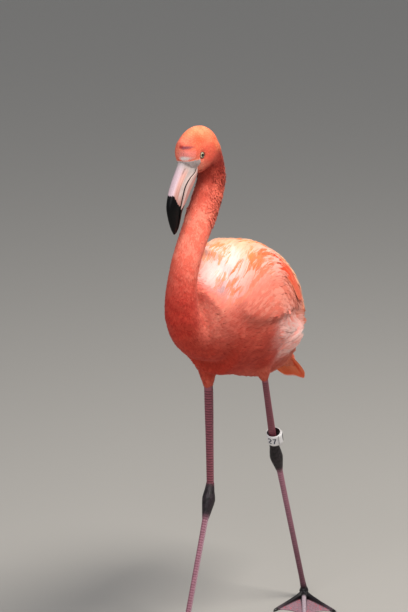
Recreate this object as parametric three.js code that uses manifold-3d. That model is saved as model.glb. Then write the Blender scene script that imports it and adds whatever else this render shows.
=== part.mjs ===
// A life-size flamingo in mid-step, as a still model.
// The bird faces -Y with its left side at +X, stands on z = 0, and all sizes are in millimetres.
import * as THREE from "three";
import { mergeVertices } from "three/addons/utils/BufferGeometryUtils.js";
import Module from "manifold-3d";

const wasm = await Module();
wasm.setup();

// ---------------------------------------------------------------- driving sizes
const gap = 0.3; // clear space between neighbouring pieces
const wingDepth = 8; // how far a folded wing stands proud of the trunk
const shankRadius = 6.6;
const tarsusRadius = 4.6;
const eyeRadius = 7;
const toeLength = 100;
const band = {
  inner: 11.8,
  wall: 1.4,
  height: 24,
  tabGap: 0.9,
  raised: 48.5, // along the shank from the ankle
  shift: [-1, 4.8, 0], // it hangs loose, so it is off the middle
};

const bodyAt = [9, -17, 5.5]; // the body, neck and head stand here over the feet
const headAt = new THREE.Vector3(-10, -185, 901); // where the ridge of the bill meets the forehead
const headTurn = THREE.MathUtils.degToRad(-8); // the head looks a little to the bird's right

// ---------------------------------------------------------------- solids from geometry
function solidOf(geometry) {
  const bare = geometry.clone();
  bare.deleteAttribute("normal");
  bare.deleteAttribute("uv");
  const merged = mergeVertices(bare, 1e-4);
  const solid = new wasm.Manifold(
    new wasm.Mesh({
      numProp: 3,
      vertProperties: merged.attributes.position.array,
      triVerts: new Uint32Array(merged.index.array),
    }),
  );
  if (solid.volume() < 0) throw new Error("a form is inside out");
  return solid;
}

function geometryOf(solid) {
  const mesh = solid.getMesh();
  return new THREE.BufferGeometry()
    .setAttribute("position", new THREE.BufferAttribute(mesh.vertProperties, 3))
    .setIndex(new THREE.BufferAttribute(mesh.triVerts, 1));
}

const curveOf = (points) =>
  new THREE.CatmullRomCurve3(points, false, "centripetal");

// A form swept along a spine. Each station has a place, a half width across the bird, and a half height
// above and below the spine. Round ends close to a blunt point, and flat ends are cut square.
function sweep({
  stations,
  sides = 20,
  rings = 16,
  from = 0,
  to = 1,
  grow = 0,
  round = [true, true],
  square = 2,
  across = new THREE.Vector3(1, 0, 0),
}) {
  const spine = curveOf(stations.map((s) => new THREE.Vector3(...s.at)));
  const sizes = curveOf(
    stations.map((s) => new THREE.Vector3(s.wide, s.high, s.low ?? s.high)),
  );
  const geometry = new THREE.CylinderGeometry(1, 1, 1, sides, rings);
  const place = geometry.getAttribute("position");
  const point = new THREE.Vector3();
  const above = new THREE.Vector3();
  for (let i = 0; i < place.count; i++) {
    point.fromBufferAttribute(place, i);
    const share = 0.5 - point.y;
    const eased = round[0] || round[1] ? easedEnds(share, round) : share;
    const t = THREE.MathUtils.clamp(from + (to - from) * eased, 0, 1);
    const centre = spine.getPoint(t);
    const tangent = spine.getTangent(t);
    const size = sizes.getPoint(t);
    above.crossVectors(across, tangent).normalize();
    const radius = Math.hypot(point.x, point.z);
    let sideways = 0;
    let upward = 0;
    if (radius > 1e-6) {
      sideways = Math.sign(point.x) * Math.abs(point.x / radius) ** (2 / square);
      upward = -Math.sign(point.z) * Math.abs(point.z / radius) ** (2 / square);
    }
    const capped = radius * endScale(eased, round);
    const half = upward > 0 ? size.y : size.z;
    const endShift = grow * (share === 0 ? -1 : share === 1 ? 1 : 0);
    centre
      .addScaledVector(across, sideways * capped * (size.x + grow))
      .addScaledVector(above, upward * capped * (half + grow))
      .addScaledVector(tangent, endShift);
    place.setXYZ(i, centre.x, centre.y, centre.z);
  }
  return solidOf(geometry);
}

// Rings crowd towards a round end, so that it closes smoothly.
function easedEnds(share, [first, last]) {
  if (first && last) return 0.5 - 0.5 * Math.cos(Math.PI * share);
  if (first) return 1 - Math.cos((Math.PI / 2) * share);
  return Math.sin((Math.PI / 2) * share);
}

const endReach = 0.13; // share of the length over which a round end closes
const leastEnd = 0.1;
function endScale(share, [first, last]) {
  let scale = 1;
  if (first && share < endReach)
    scale *= Math.sqrt(Math.max(1 - (1 - share / endReach) ** 2, 0));
  if (last && share > 1 - endReach)
    scale *= Math.sqrt(Math.max(1 - (1 - (1 - share) / endReach) ** 2, 0));
  return Math.max(scale, leastEnd);
}

// A ball stretched to three half sizes.
function ball([x, y, z], [wide, long, high], detail = 16) {
  const geometry = new THREE.SphereGeometry(1, detail, detail * 0.75);
  geometry.scale(wide, long, high).translate(x, y, z);
  return solidOf(geometry);
}

const mirrored = (solid) => solid.mirror([1, 0, 0]);

// ---------------------------------------------------------------- trunk, wings and tail
// Rows along the body from breast to rump: y, top, bottom and half width.
const bodyRows = [
  [-180, 630, 566, 30],
  [-159, 668, 538, 56],
  [-118, 734, 507, 76],
  [-60, 744, 497, 86],
  [0, 731, 486, 91],
  [52, 706, 465, 87],
  [102, 673, 448, 76],
  [148, 630, 442, 61],
  [185, 584, 445, 46],
  [210, 545, 447, 31],
];

const bodyForm = (rows, { top = 0, side = 0, grow = 0 }) =>
  sweep({
    stations: rows.map(([y, high, low, wide]) => ({
      at: [0, y, (high - top + low) / 2],
      wide: wide - side,
      high: (high - top - low) / 2,
    })),
    sides: 24,
    rings: 15,
    square: 2.15,
    grow,
  });

function trunkForm(grow) {
  const flank = ball([49, 84, 540], [27 + grow, 46 + grow, 40 + grow], 12);
  return bodyForm(bodyRows, { top: wingDepth, side: wingDepth - 1, grow })
    .add(flank)
    .add(mirrored(flank));
}

// The folded wing is the body's outer shell inside this side outline of y and z.
const wingOutline = [
  [-112, 628],
  [-118, 668],
  [-95, 760],
  [120, 760],
  [190, 700],
  [205, 620],
  [172, 560],
  [120, 578],
  [60, 592],
  [-10, 597],
  [-70, 603],
];

function wingForms(trunkCutter) {
  const outline = new THREE.SplineCurve(
    [...wingOutline, wingOutline[0]].map(([y, z]) => new THREE.Vector2(y, z)),
  );
  const shape = new THREE.Shape(outline.getPoints(44).slice(0, -1));
  const prism = new THREE.ExtrudeGeometry(shape, {
    depth: 130,
    bevelEnabled: false,
  });
  // The outline's y and z run along the body, and the depth runs out to the left side.
  prism.applyMatrix4(
    new THREE.Matrix4().makeBasis(
      new THREE.Vector3(0, 1, 0),
      new THREE.Vector3(0, 0, 1),
      new THREE.Vector3(1, 0, 0),
    ),
  );
  prism.translate(backGap, 0, 0);
  const shell = bodyForm(bodyRows, {}).subtract(trunkCutter);
  const left = solidOf(prism);
  return { left: shell.intersect(left), right: shell.intersect(mirrored(left)) };
}
const backGap = 0.4; // the two wings stay this far from the body's middle plane

const tailForm = () =>
  sweep({
    stations: [
      { at: [0, 150, 500], wide: 24, high: 22 },
      { at: [0, 182, 465], wide: 26, high: 14 },
      { at: [0, 206, 440], wide: 23, high: 7 },
      { at: [0, 231, 412], wide: 13, high: 3 },
    ],
    sides: 14,
    rings: 8,
    square: 2.4,
  });

// ---------------------------------------------------------------- neck
// Rows from the back of the head to the breast: y, z and radius.
const neckRows = [
  [-113, 927, 15],
  [-104, 903, 21.5],
  [-97, 877, 23.4],
  [-97, 850, 24],
  [-106, 831, 24.6],
  [-140, 788, 25.8],
  [-172, 750, 25.4],
  [-195, 712, 25.6],
  [-204, 665, 29.6],
  [-198, 633, 32],
  [-176, 606, 34],
  [-142, 588, 40],
  [-105, 592, 44],
];
const neckCuts = [0, 0.38, 0.66, 1];

const neckForm = (from, to, round) =>
  sweep({
    stations: neckRows.map(([y, z, radius]) => ({
      at: [0, y, z],
      wide: radius,
      high: radius,
    })),
    from,
    to,
    round,
    sides: 18,
    rings: 8,
  });

// ---------------------------------------------------------------- head and bill
// In the head's own frame: y is backward from the bill's base, z is up.
// Rows from the forehead to the back of the head: y, top, bottom and half width.
const headRows = [
  [2, 3, -24, 11.5],
  [10, 21, -27, 15.8],
  [19, 38, -30, 19.5],
  [32, 46.5, -32, 21.8],
  [46, 49, -32, 23],
  [60, 48, -28, 23.5],
  [75, 43.5, -20, 22.5],
  [90, 30, -4, 16],
];
const headForm = (grow) =>
  sweep({
    stations: headRows.map(([y, high, low, wide]) => ({
      at: [0, y, (high + low) / 2],
      wide,
      high: (high - low) / 2,
    })),
    sides: 20,
    rings: 12,
    square: 2.2,
    grow,
  });

// Three curves down the bill in its middle plane (y backward, z up), and its half width there.
const billRows = [
  // ridge, mouth, keel, half width
  [[4, 8], [27, -12], [37, -16], 13.5],
  [[-2, -6], [24, -24], [34, -30], 13.2],
  [[-10.5, -22], [12, -33], [26.5, -45], 12.8],
  [[-21, -40], [0, -43], [16, -57], 12.4],
  [[-29, -58], [-6.5, -58], [6, -71], 11.6],
  [[-32, -76], [-9, -76], [-3, -86], 9.8],
  [[-28.5, -95], [-10, -94], [-6, -100], 8.2],
  [[-21, -112], [-11.5, -110], [-8, -112], 5.8],
  [[-15, -122], [-12, -121], [-10.5, -121.5], 2.8],
];

function mandibleForm(edges, widths, square, grow) {
  const stations = edges.map(([front, back], i) => {
    const [y1, z1] = front;
    const [y2, z2] = back;
    return {
      at: [0, (y1 + y2) / 2, (z1 + z2) / 2],
      wide: widths[i],
      high: Math.hypot(y2 - y1, z2 - z1) / 2,
    };
  });
  return sweep({ stations, sides: 14, rings: 14, square, grow, round: [false, true] });
}

const upperBillForm = (grow) =>
  mandibleForm(
    billRows.map(([ridge, mouth]) => [ridge, mouth]),
    billRows.map((row) => row[3] * 0.92),
    2.3,
    grow,
  );
const lowerBillForm = (grow) =>
  mandibleForm(
    billRows.map(([, mouth, keel]) => [mouth, keel]),
    billRows.map((row) => row[3]),
    2.2,
    grow,
  );

const eyeAt = [16.2, 33, 3.8];

// ---------------------------------------------------------------- legs and feet
const legs = {
  left: {
    side: 1,
    hip: [49, -5, 525.5],
    thighEnd: [49, 14, 472.5],
    ankleTop: [31, 84, 341],
    ankle: [31, 99, 301],
    ankleEnd: [33, 110, 270],
    foot: [55, 174, 18],
    toeTurn: 26,
  },
  right: {
    side: -1,
    hip: [-31, -56, 525.5],
    thighEnd: [-29, -51, 463.5],
    ankleTop: [-28, -46, 288],
    ankle: [-24, -60, 262],
    ankleEnd: [-22, -77, 229],
    foot: [-12.5, -185.5, 18],
    toeTurn: -32,
  },
};

const along = (a, b, t) => a.map((v, i) => v + (b[i] - v) * t);

function limb(points, radii, options = {}) {
  return sweep({
    stations: points.map((at, i) => ({
      at,
      wide: radii[i][0],
      high: radii[i][1] ?? radii[i][0],
    })),
    sides: 12,
    rings: 6,
    round: [false, false],
    ...options,
  });
}

function legForms({ hip, thighEnd, ankleTop, ankle, ankleEnd, foot }) {
  const thigh = (grow) =>
    limb([hip, along(hip, thighEnd, 0.5), thighEnd], [[30, 34], [17, 19], [8.2, 9.2]], {
      sides: 16,
      grow,
    });
  const shank = limb(
    [along(thighEnd, ankleTop, -0.05), along(thighEnd, ankleTop, 0.5), along(ankleTop, ankle, 0.1)],
    [[shankRadius], [shankRadius * 0.95], [shankRadius]],
    { rings: 4 },
  );
  const joint = (grow) =>
    limb(
      [ankleTop, along(ankle, ankleTop, 0.5), ankle, along(ankle, ankleEnd, 0.5), ankleEnd],
      [[shankRadius * 1.05], [8.6, 9.4], [11.4, 12.6], [8.6, 9.6], [5.2, 6.2]],
      { rings: 8, grow },
    );
  const tarsus = limb(
    [along(ankleEnd, foot, -0.02), along(ankleEnd, foot, 0.15), along(ankleEnd, foot, 0.9), foot],
    [[5.2, 6.2], [tarsusRadius, 5.6], [tarsusRadius, 5.2], [6, 6.4]],
  );
  return {
    thigh: thigh(0),
    shank: shank.subtract(thigh(gap)).subtract(joint(gap)),
    ankle: joint(0),
    tarsus: tarsus.subtract(joint(gap)).subtract(knuckleForm(foot, gap)),
  };
}

// The joint where the tarsus meets the toes.
const knuckleForm = ([x, y, z], grow) => ball([x, y, z - 5], Array(3).fill(8.6 + grow), 8);

// Each toe leaves the foot at its own angle and tapers to its claw.
const toes = [
  { name: "inner", angle: -38, length: 0.91 },
  { name: "middle", angle: 0, length: 1 },
  { name: "outer", angle: 38, length: 0.96 },
];
const clawLength = 9;
const webThickness = 2.2;

function toeLine(leg, { angle, length }) {
  const turn = THREE.MathUtils.degToRad(angle * leg.side + leg.toeTurn);
  const reach = toeLength * length;
  const at = (share, z) => [
    leg.foot[0] + Math.sin(turn) * reach * share,
    leg.foot[1] - Math.cos(turn) * reach * share,
    z,
  ];
  return { at, across: new THREE.Vector3(Math.cos(turn), Math.sin(turn), 0), reach };
}

function footForm(leg) {
  let solid = knuckleForm(leg.foot, 0).add(ball([leg.foot[0], leg.foot[1], 5], [9, 12, 6], 8));
  const edge = [];
  for (const toe of toes) {
    const { at, across, reach } = toeLine(leg, toe);
    const bare = 1 - clawLength / reach;
    solid = solid.add(
      limb(
        [at(-0.05, 10), at(0.2, 6), at(0.5, 4), at(bare, 3)],
        [[5.5, 6], [4.6, 5], [4, 4], [3, 3]],
        { sides: 7, rings: 3, across },
      ),
    );
    edge.push(at(bare * 0.97, 0));
  }
  solid = solid.add(webForm(leg.foot, edge));
  const hind = hindToe(leg);
  solid = solid.add(
    limb([hind(0, 13), hind(0.6, 9), hind(1, 4.6)], [[4], [3.2], [2.4]], {
      sides: 6,
      rings: 2,
      across: new THREE.Vector3(-1, 0, 0),
    }),
  );
  return solid.trimByPlane([0, 0, 1], 0);
}

const hindToeLength = 13;
const hindToe = (leg) => (share, z) => [
  leg.foot[0] - leg.side * 4 * share,
  leg.foot[1] + 5 + hindToeLength * share,
  z,
];

// The web is a thin sheet whose front edge is drawn back in a curve between the toes.
function webForm(foot, edge) {
  const shape = new THREE.Shape();
  shape.moveTo(foot[0], foot[1] + 4);
  shape.lineTo(edge[0][0], edge[0][1]);
  for (let i = 1; i < edge.length; i++) {
    const hollow = along(along(edge[i - 1], edge[i], 0.5), foot, 0.22);
    shape.quadraticCurveTo(hollow[0], hollow[1], edge[i][0], edge[i][1]);
  }
  shape.closePath();
  const geometry = new THREE.ExtrudeGeometry(shape, {
    depth: webThickness,
    bevelEnabled: false,
    curveSegments: 4,
  });
  return solidOf(geometry);
}

function clawForm(leg, toe) {
  const { at, across, reach } = toeLine(leg, toe);
  const bare = 1 - (clawLength - gap) / reach;
  return limb(
    [at(bare, 3), at(1 - (clawLength * 0.5) / reach, 2.8), at(1, 1.4)],
    [[2.8, 2.7], [2.5, 2.3], [0.9, 0.9]],
    { sides: 6, rings: 3, across },
  ).trimByPlane([0, 0, 1], 0);
}

// ---------------------------------------------------------------- leg band
function bandForm(leg) {
  const outer = band.inner + band.wall;
  const half = band.height / 2;
  const ring = new THREE.LatheGeometry(
    [
      [band.inner, -half],
      [outer, -half],
      [outer, half],
      [band.inner, half],
      [band.inner, -half],
    ].map(([r, z]) => new THREE.Vector2(r, z)),
    24,
  ).rotateX(Math.PI / 2);
  // The loose end of the band laps over its outside.
  const tab = new THREE.Shape();
  const lap = { inner: outer + band.tabGap, start: -0.5, end: 0.75 };
  tab.absarc(0, 0, lap.inner + band.wall, lap.start, lap.end, false);
  tab.absarc(0, 0, outer - 0.4, lap.end + 0.12, lap.end + 0.1, true);
  tab.absarc(0, 0, lap.inner, lap.end - 0.1, lap.start, true);
  const lapped = new THREE.ExtrudeGeometry(tab, {
    depth: band.height,
    bevelEnabled: false,
    curveSegments: 5,
  }).translate(0, 0, -half);
  const axis = new THREE.Vector3(...leg.thighEnd)
    .sub(new THREE.Vector3(...leg.ankle))
    .normalize();
  const turn = new THREE.Quaternion().setFromUnitVectors(
    new THREE.Vector3(0, 0, 1),
    axis,
  );
  const centre = new THREE.Vector3(...leg.ankle)
    .addScaledVector(axis, band.raised)
    .add(new THREE.Vector3(...band.shift));
  const place = new THREE.Matrix4().compose(centre, turn, new THREE.Vector3(1, 1, 1));
  return solidOf(ring.applyMatrix4(place)).add(solidOf(lapped.applyMatrix4(place)));
}

// ---------------------------------------------------------------- finishes
const finish = (color, roughness) =>
  new THREE.MeshStandardMaterial({ color, roughness, metalness: 0 });
const finishes = {
  plumage: finish(0xf0705a, 0.85),
  wing: finish(0xf89a78, 0.8),
  leg: finish(0x8a5560, 0.6),
  joint: finish(0x3a282c, 0.6),
  bill: finish(0xe8c8c4, 0.4),
  claw: finish(0x1c1819, 0.4),
  eye: finish(0xd8cf9a, 0.15),
  band: finish(0xe6e2e0, 0.35),
};

// ---------------------------------------------------------------- the assembled bird
const flamingo = new THREE.Group();
function addPiece(name, solid, material) {
  const mesh = new THREE.Mesh(geometryOf(solid), finishes[material]);
  mesh.name = name;
  flamingo.add(mesh);
}

const turnHead = new THREE.Matrix4()
  .makeRotationZ(headTurn)
  .setPosition(headAt)
  .toArray();
const inHead = (solid) => solid.transform(turnHead);

const inBody = (solid) => solid.translate(bodyAt);
const trunkCutter = trunkForm(gap);
const headCutter = inHead(headForm(gap));
const upperBill = upperBillForm(0);
const lowerBill = lowerBillForm(0).subtract(upperBillForm(gap));
const eye = ball(eyeAt, Array(3).fill(eyeRadius), 10);
const socket = ball(eyeAt, Array(3).fill(eyeRadius + gap), 10);
const head = headForm(0)
  .subtract(upperBillForm(gap))
  .subtract(lowerBillForm(gap))
  .subtract(socket)
  .subtract(mirrored(socket));

addPiece("head", inBody(inHead(head)), "plumage");
addPiece("bill_upper", inBody(inHead(upperBill)), "bill");
addPiece("bill_lower", inBody(inHead(lowerBill)), "bill");
addPiece("eye_left", inBody(inHead(eye)), "eye");
addPiece("eye_right", inBody(inHead(mirrored(eye))), "eye");

const neckNames = ["neck_upper", "neck_middle", "neck_lower"];
neckNames.forEach((name, i) => {
  const from = neckCuts[i] + (i ? 0.0006 : 0);
  const round = [i === 0, i === neckNames.length - 1];
  const length = neckForm(from, neckCuts[i + 1], round)
    .subtract(trunkCutter)
    .subtract(headCutter);
  addPiece(name, inBody(length), "plumage");
});

addPiece("trunk", inBody(trunkForm(0)), "plumage");
for (const [side, wing] of Object.entries(wingForms(trunkCutter)))
  addPiece(`wing_${side}`, inBody(wing), "wing");
addPiece("tail", inBody(tailForm().subtract(trunkCutter)), "wing");

for (const [side, leg] of Object.entries(legs)) {
  const { thigh, shank, ankle, tarsus } = legForms(leg);
  const foot = footForm(leg);
  addPiece(`thigh_${side}`, thigh.subtract(inBody(trunkCutter)), "plumage");
  addPiece(`shank_${side}`, shank, "leg");
  addPiece(`ankle_${side}`, ankle, "joint");
  addPiece(`tarsus_${side}`, tarsus, "leg");
  addPiece(`foot_${side}`, foot, "leg");
  for (const toe of toes)
    addPiece(`claw_${toe.name}_${side}`, clawForm(leg, toe), "claw");
}
addPiece("leg_band", bandForm(legs.left), "band");

// The origin is the middle of the whole bird's box, on the floor.
const box = new THREE.Box3().setFromObject(flamingo);
const middle = box.getCenter(new THREE.Vector3());
flamingo.position.set(-middle.x, -middle.y, -box.min.z);

export default flamingo;
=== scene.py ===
# A life-size flamingo in mid-step: skin, feathers, bill, eyes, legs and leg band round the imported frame.
# The dictionaries give sizes in millimetres, and tones as plain screen colours.
import math

import bmesh
import bpy
import numpy as np
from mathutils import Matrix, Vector, kdtree
from mathutils.bvhtree import BVHTree


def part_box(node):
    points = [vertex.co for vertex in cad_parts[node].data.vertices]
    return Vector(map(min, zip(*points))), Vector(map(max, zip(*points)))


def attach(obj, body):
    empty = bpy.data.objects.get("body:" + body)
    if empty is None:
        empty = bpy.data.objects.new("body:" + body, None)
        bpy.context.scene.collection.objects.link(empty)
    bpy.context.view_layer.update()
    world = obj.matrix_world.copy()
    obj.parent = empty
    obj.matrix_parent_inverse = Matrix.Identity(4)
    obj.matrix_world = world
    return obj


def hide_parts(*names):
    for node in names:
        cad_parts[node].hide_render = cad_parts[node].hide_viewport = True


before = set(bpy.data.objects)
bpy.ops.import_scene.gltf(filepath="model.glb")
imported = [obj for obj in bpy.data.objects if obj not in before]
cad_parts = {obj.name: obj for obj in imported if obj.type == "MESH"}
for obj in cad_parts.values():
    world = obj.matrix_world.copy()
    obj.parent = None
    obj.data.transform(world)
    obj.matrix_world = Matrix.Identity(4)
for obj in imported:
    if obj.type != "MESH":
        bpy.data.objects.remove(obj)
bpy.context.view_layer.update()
sides = {"left": 1, "right": -1}  # and the sign of across on each
mm = 0.001


# Where things are: the eyes give the head's place, and the head gives the body's own millimetres.
def middleOf(name):
    return sum(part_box(name), Vector()) / 2


headPlan = {
    "base": (-10, -185, 901),  # where the ridge of the bill meets the forehead
    "eye": (16.2, 33, 3.8),  # to the side, back and up from the base
    "eyeRadius": 7,
    "blend": (-80, -30),  # heights over the base where the body's directions give way to the head's
    "midline": 4,  # half the strip where the two sides run together
}
leftEye, rightEye = (middleOf(f"eye_{side}") for side in sides)
headLeft = (leftEye - rightEye).normalized()
headUp = Vector((0, 0, 1))
headBack = headUp.cross(headLeft)
headBase = (leftEye + rightEye) / 2 - mm * (headPlan["eye"][1] * headBack + headPlan["eye"][2] * headUp)
bodyBase = np.array(headBase) / mm - np.array(headPlan["base"])
headAxes = np.array([headLeft, headBack, headUp])


def toFrame(points):
    return (np.asarray(points, float) + bodyBase) * mm


def toBody(points):
    return np.asarray(points, float) / mm - bodyBase


def toHead(points):
    return (np.asarray(points, float) - np.array(headBase)) @ headAxes.T / mm


def fromHead(points):
    return np.asarray(points, float) @ headAxes * mm + np.array(headBase)


def ramp(value, low, high):
    t = np.clip((value - low) / (high - low), 0, 1)
    return t * t * (3 - 2 * t)


def headShare(points):
    return ramp(toHead(points)[:, 2], *headPlan["blend"])


# Both sides of the bird fold on to one: across, back and up, with the head set straight on the body.
def folded(points):
    head, body = toHead(points), toBody(points)
    share = headShare(points)[:, None]
    straight = head + np.array([0, headPlan["base"][1], headPlan["base"][2]])
    place = share * straight + (1 - share) * body
    place[:, 0] = np.abs(place[:, 0])
    return place


def unfoldedHeading(points, heading):
    share = headShare(points)[:, None]
    across = np.where(share > 0.5, toHead(points)[:, :1], toBody(points)[:, :1])
    left = share * headAxes[0] + (1 - share) * np.array([1.0, 0, 0])
    back = share * headAxes[1] + (1 - share) * np.array([0, 1.0, 0])
    lean = np.clip(across / headPlan["midline"], -1, 1)
    return heading[:, :1] * lean * left + heading[:, 1:2] * back + heading[:, 2:] * np.array([0, 0, 1.0])


# Mesh and number helpers.
def keep(name, mesh):
    piece = bpy.data.objects.new(name, mesh)
    bpy.context.scene.collection.objects.link(piece)
    return piece


def pieceOf(name, bm, *materials):
    mesh = bpy.data.meshes.new(name)
    bm.to_mesh(mesh)
    bm.free()
    for material in materials:
        mesh.materials.append(material)
    smoothed(mesh)
    return keep(name, mesh)


def bmPlaces(bm):
    return np.array([vert.co for vert in bm.verts])


def picked(bm, mask):
    bm.verts.ensure_lookup_table()
    return [bm.verts[i] for i in np.nonzero(mask)[0]]


# One mesh of several solids, swollen so that they overlap. The top of a solid may be drawn out by a shift.
def joinedNodes(name, nodes, swell, drawnOut=None, shift=None):
    bm = bmesh.new()
    for node in nodes:
        part = bmesh.new()
        part.from_mesh(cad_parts[node].data)
        bmesh.ops.remove_doubles(part, verts=part.verts, dist=0.00001)
        part.normal_update()
        top = max(vert.co.z for vert in part.verts)
        raised = [vert for vert in part.verts if node == drawnOut and vert.co.z > top - 4 * mm]
        for vert in part.verts:
            vert.co += vert.normal * swell * mm
        for vert in raised:
            vert.co += shift
        mesh = bpy.data.meshes.new(node)
        part.to_mesh(mesh)
        part.free()
        bm.from_mesh(mesh)
        bpy.data.meshes.remove(mesh)
    return pieceOf(name, bm)


def applied(piece, kind, **settings):
    modifier = piece.modifiers.new(kind, kind)
    for key, value in settings.items():
        setattr(modifier, key, value)
    graph = bpy.context.evaluated_depsgraph_get()
    mesh = bpy.data.meshes.new_from_object(piece.evaluated_get(graph))
    piece.modifiers.clear()
    old = piece.data
    piece.data = mesh
    bpy.data.meshes.remove(old)
    return piece


def joined(name, pieces):
    bm = bmesh.new()
    materials = []
    for piece in pieces:
        slots = []
        for material in piece.data.materials:
            if material not in materials:
                materials.append(material)
            slots.append(materials.index(material))
        start = len(bm.faces)
        bm.from_mesh(piece.data)
        bm.faces.ensure_lookup_table()
        for face in bm.faces[start:]:
            face.material_index = slots[face.material_index] if slots else 0
        bpy.data.objects.remove(piece)
    return pieceOf(name, bm, *materials)


def placesOf(mesh):
    co = np.empty(len(mesh.vertices) * 3)
    mesh.vertices.foreach_get("co", co)
    return co.reshape(-1, 3)


def normalsOf(mesh):
    no = np.empty(len(mesh.vertices) * 3, np.float32)
    mesh.vertex_normals.foreach_get("vector", no)
    return no.reshape(-1, 3).astype(float)


def movePlaces(mesh, places):
    mesh.vertices.foreach_set("co", np.asarray(places, float).ravel())
    mesh.update()


def smoothed(mesh):
    mesh.polygons.foreach_set("use_smooth", np.ones(len(mesh.polygons), bool))


def unit(v):
    return v / np.maximum(np.linalg.norm(v, axis=-1, keepdims=True), 1e-12)


def dot(a, b):
    return np.sum(a * b, axis=-1, keepdims=True)


def tone(code):
    screen = np.array([int(code[i : i + 2], 16) for i in (0, 2, 4)]) / 255
    return np.where(screen <= 0.04045, screen / 12.92, ((screen + 0.055) / 1.055) ** 2.4)


def paint(mesh, name, values):
    layer = mesh.attributes.new(name, "FLOAT_COLOR", "POINT")
    full = np.ones((len(values), 4), np.float32)
    full[:, : values.shape[1]] = values
    layer.data.foreach_set("color", full.ravel())


def palette(codes):
    return {key: tone(code) for key, code in codes.items()}


def dressed(mesh, tint, material):
    paint(mesh, "tint", tint)
    mesh.materials.clear()
    mesh.materials.append(material)
    smoothed(mesh)


# Soft lumps, from about -1 to 1, with about the given width.
def wobble(points, width, seed):
    rng = np.random.default_rng(seed)
    value = np.zeros(len(points))
    for _ in range(7):
        wave = rng.normal(size=3)
        wave *= rng.uniform(0.7, 1.4) * math.pi / (width * np.linalg.norm(wave))
        value += np.sin(points @ wave + rng.uniform(0, 2 * math.pi))
    return value / 3.2


# The lie of the feathers: a place on the folded bird and the way that they point there.
def inHead(across, back, up):
    return (across, back + headPlan["base"][1], up + headPlan["base"][2])


lie = {
    "reach": 34,
    "headReach": 13,
    "head": [
        (inHead(0, 0, 12), (0, 0.3, 1)),
        (inHead(12, 8, 12), (0.3, 0.8, 0.8)),
        (inHead(0, 14, 36), (0, 0.8, 0.7)),
        (inHead(0, 45, 50), (0, 1, 0)),
        (inHead(0, 75, 40), (0, 0.8, -0.7)),
        (inHead(20, 30, 20), (0, 1, 0.15)),
        (inHead(21, 45, 8), (0, 1, -0.25)),
        (inHead(20, 40, -12), (0, 0.9, -0.5)),
        (inHead(16, 28, -26), (0, 0.8, -0.6)),
        (inHead(0, 28, -32), (0, 1, -0.2)),
        (inHead(22, 65, 10), (0, 0.6, -0.8)),
        (inHead(0, 88, 15), (0, 0.1, -1)),
    ],
    "body": [
        ((0, -96, 870), (0, 0, -1)),
        ((0, -97, 845), (0, -0.15, -1)),
        ((0, -125, 808), (0, -0.62, -0.78)),
        ((0, -160, 765), (0, -0.62, -0.78)),
        ((0, -190, 718), (0, -0.4, -0.92)),
        ((0, -205, 665), (0, 0.05, -1)),
        ((0, -225, 630), (0, 0.4, -0.9)),
        ((30, -200, 620), (0.15, 0.6, -0.75)),
        ((0, -205, 585), (0, 0.85, -0.5)),
        ((0, -150, 545), (0, 1, -0.3)),
        ((40, -150, 590), (0.2, 1, -0.25)),
        ((0, -60, 500), (0, 1, -0.1)),
        ((0, 60, 478), (0, 1, 0)),
        ((0, 150, 465), (0, 1, 0.1)),
        ((62, -110, 600), (0.1, 1, 0.1)),
        ((78, -40, 560), (0, 1, 0.18)),
        ((75, 30, 540), (0, 1, 0.3)),
        ((68, 95, 530), (0, 1, 0.35)),
        ((45, 150, 510), (0, 1, 0.1)),
        ((30, -130, 672), (0.1, 0.5, 0.85)),
        ((60, -112, 655), (0.1, 0.6, 0.8)),
        ((25, -90, 712), (0, 1, 0.5)),
        ((60, -70, 685), (0, 0.9, 0.5)),
        ((78, -50, 645), (0, 0.95, 0.25)),
        ((0, 0, 731), (0, 1, 0)),
        ((55, 0, 708), (0, 1, -0.05)),
        ((88, 0, 645), (0, 0.95, -0.3)),
        ((84, 45, 640), (0, 0.6, -0.8)),
        ((84, 60, 600), (0, 0.35, -0.9)),
        ((40, 60, 702), (0, 1, -0.35)),
        ((76, 92, 620), (0, 0.3, -0.95)),
        ((0, 100, 690), (0, 1, -0.4)),
        ((0, 170, 610), (0, 0.8, -0.6)),
        ((50, 160, 600), (0, 0.65, -0.75)),
        ((0, 200, 500), (0, 0.65, -0.75)),
    ],
}
lieRows = [(place, heading, lie["headReach"]) for place, heading in lie["head"]]
lieRows += [(place, heading, lie["reach"]) for place, heading in lie["body"]]
liePlaces, lieHeadings, lieReaches = (np.array(column, float) for column in zip(*lieRows))

# The thighs point down from hip to knee, and the two sides differ.
thighs = {
    "left": ((40, 12, 520), (40, 31, 467)),
    "right": ((-40, -39, 520), (-38, -34, 458)),
    "reach": 30,
    "top": 506,
    "fade": 14,
}


def thighShare(body):
    share = np.zeros(len(body))
    heading = np.zeros((len(body), 3))
    for side in sides:
        top, end = (np.array(p, float) for p in thighs[side])
        way = unit(end - top)
        out = (body - top) - (body - top) @ way[:, None] * way
        near = ramp(np.linalg.norm(out, axis=1), thighs["reach"], thighs["reach"] * 0.7)
        near *= ramp(body[:, 2], thighs["top"], thighs["top"] - thighs["fade"])
        heading += near[:, None] * way
        share = np.maximum(share, near)
    return share, unit(heading)


def headingAt(points, normals):
    place = folded(points)
    away = np.sum((place[:, None, :] - liePlaces) ** 2, axis=2) / (2 * lieReaches**2)
    weight = np.exp(-away) + 1e-7 / (1 + away)
    heading = weight @ lieHeadings / weight.sum(1, keepdims=True)
    heading = unfoldedHeading(points, heading)
    share, down = thighShare(toBody(points))
    heading = unit(heading) * (1 - share[:, None]) + down * share[:, None]
    return unit(heading - dot(heading, normals) * normals)


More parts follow.
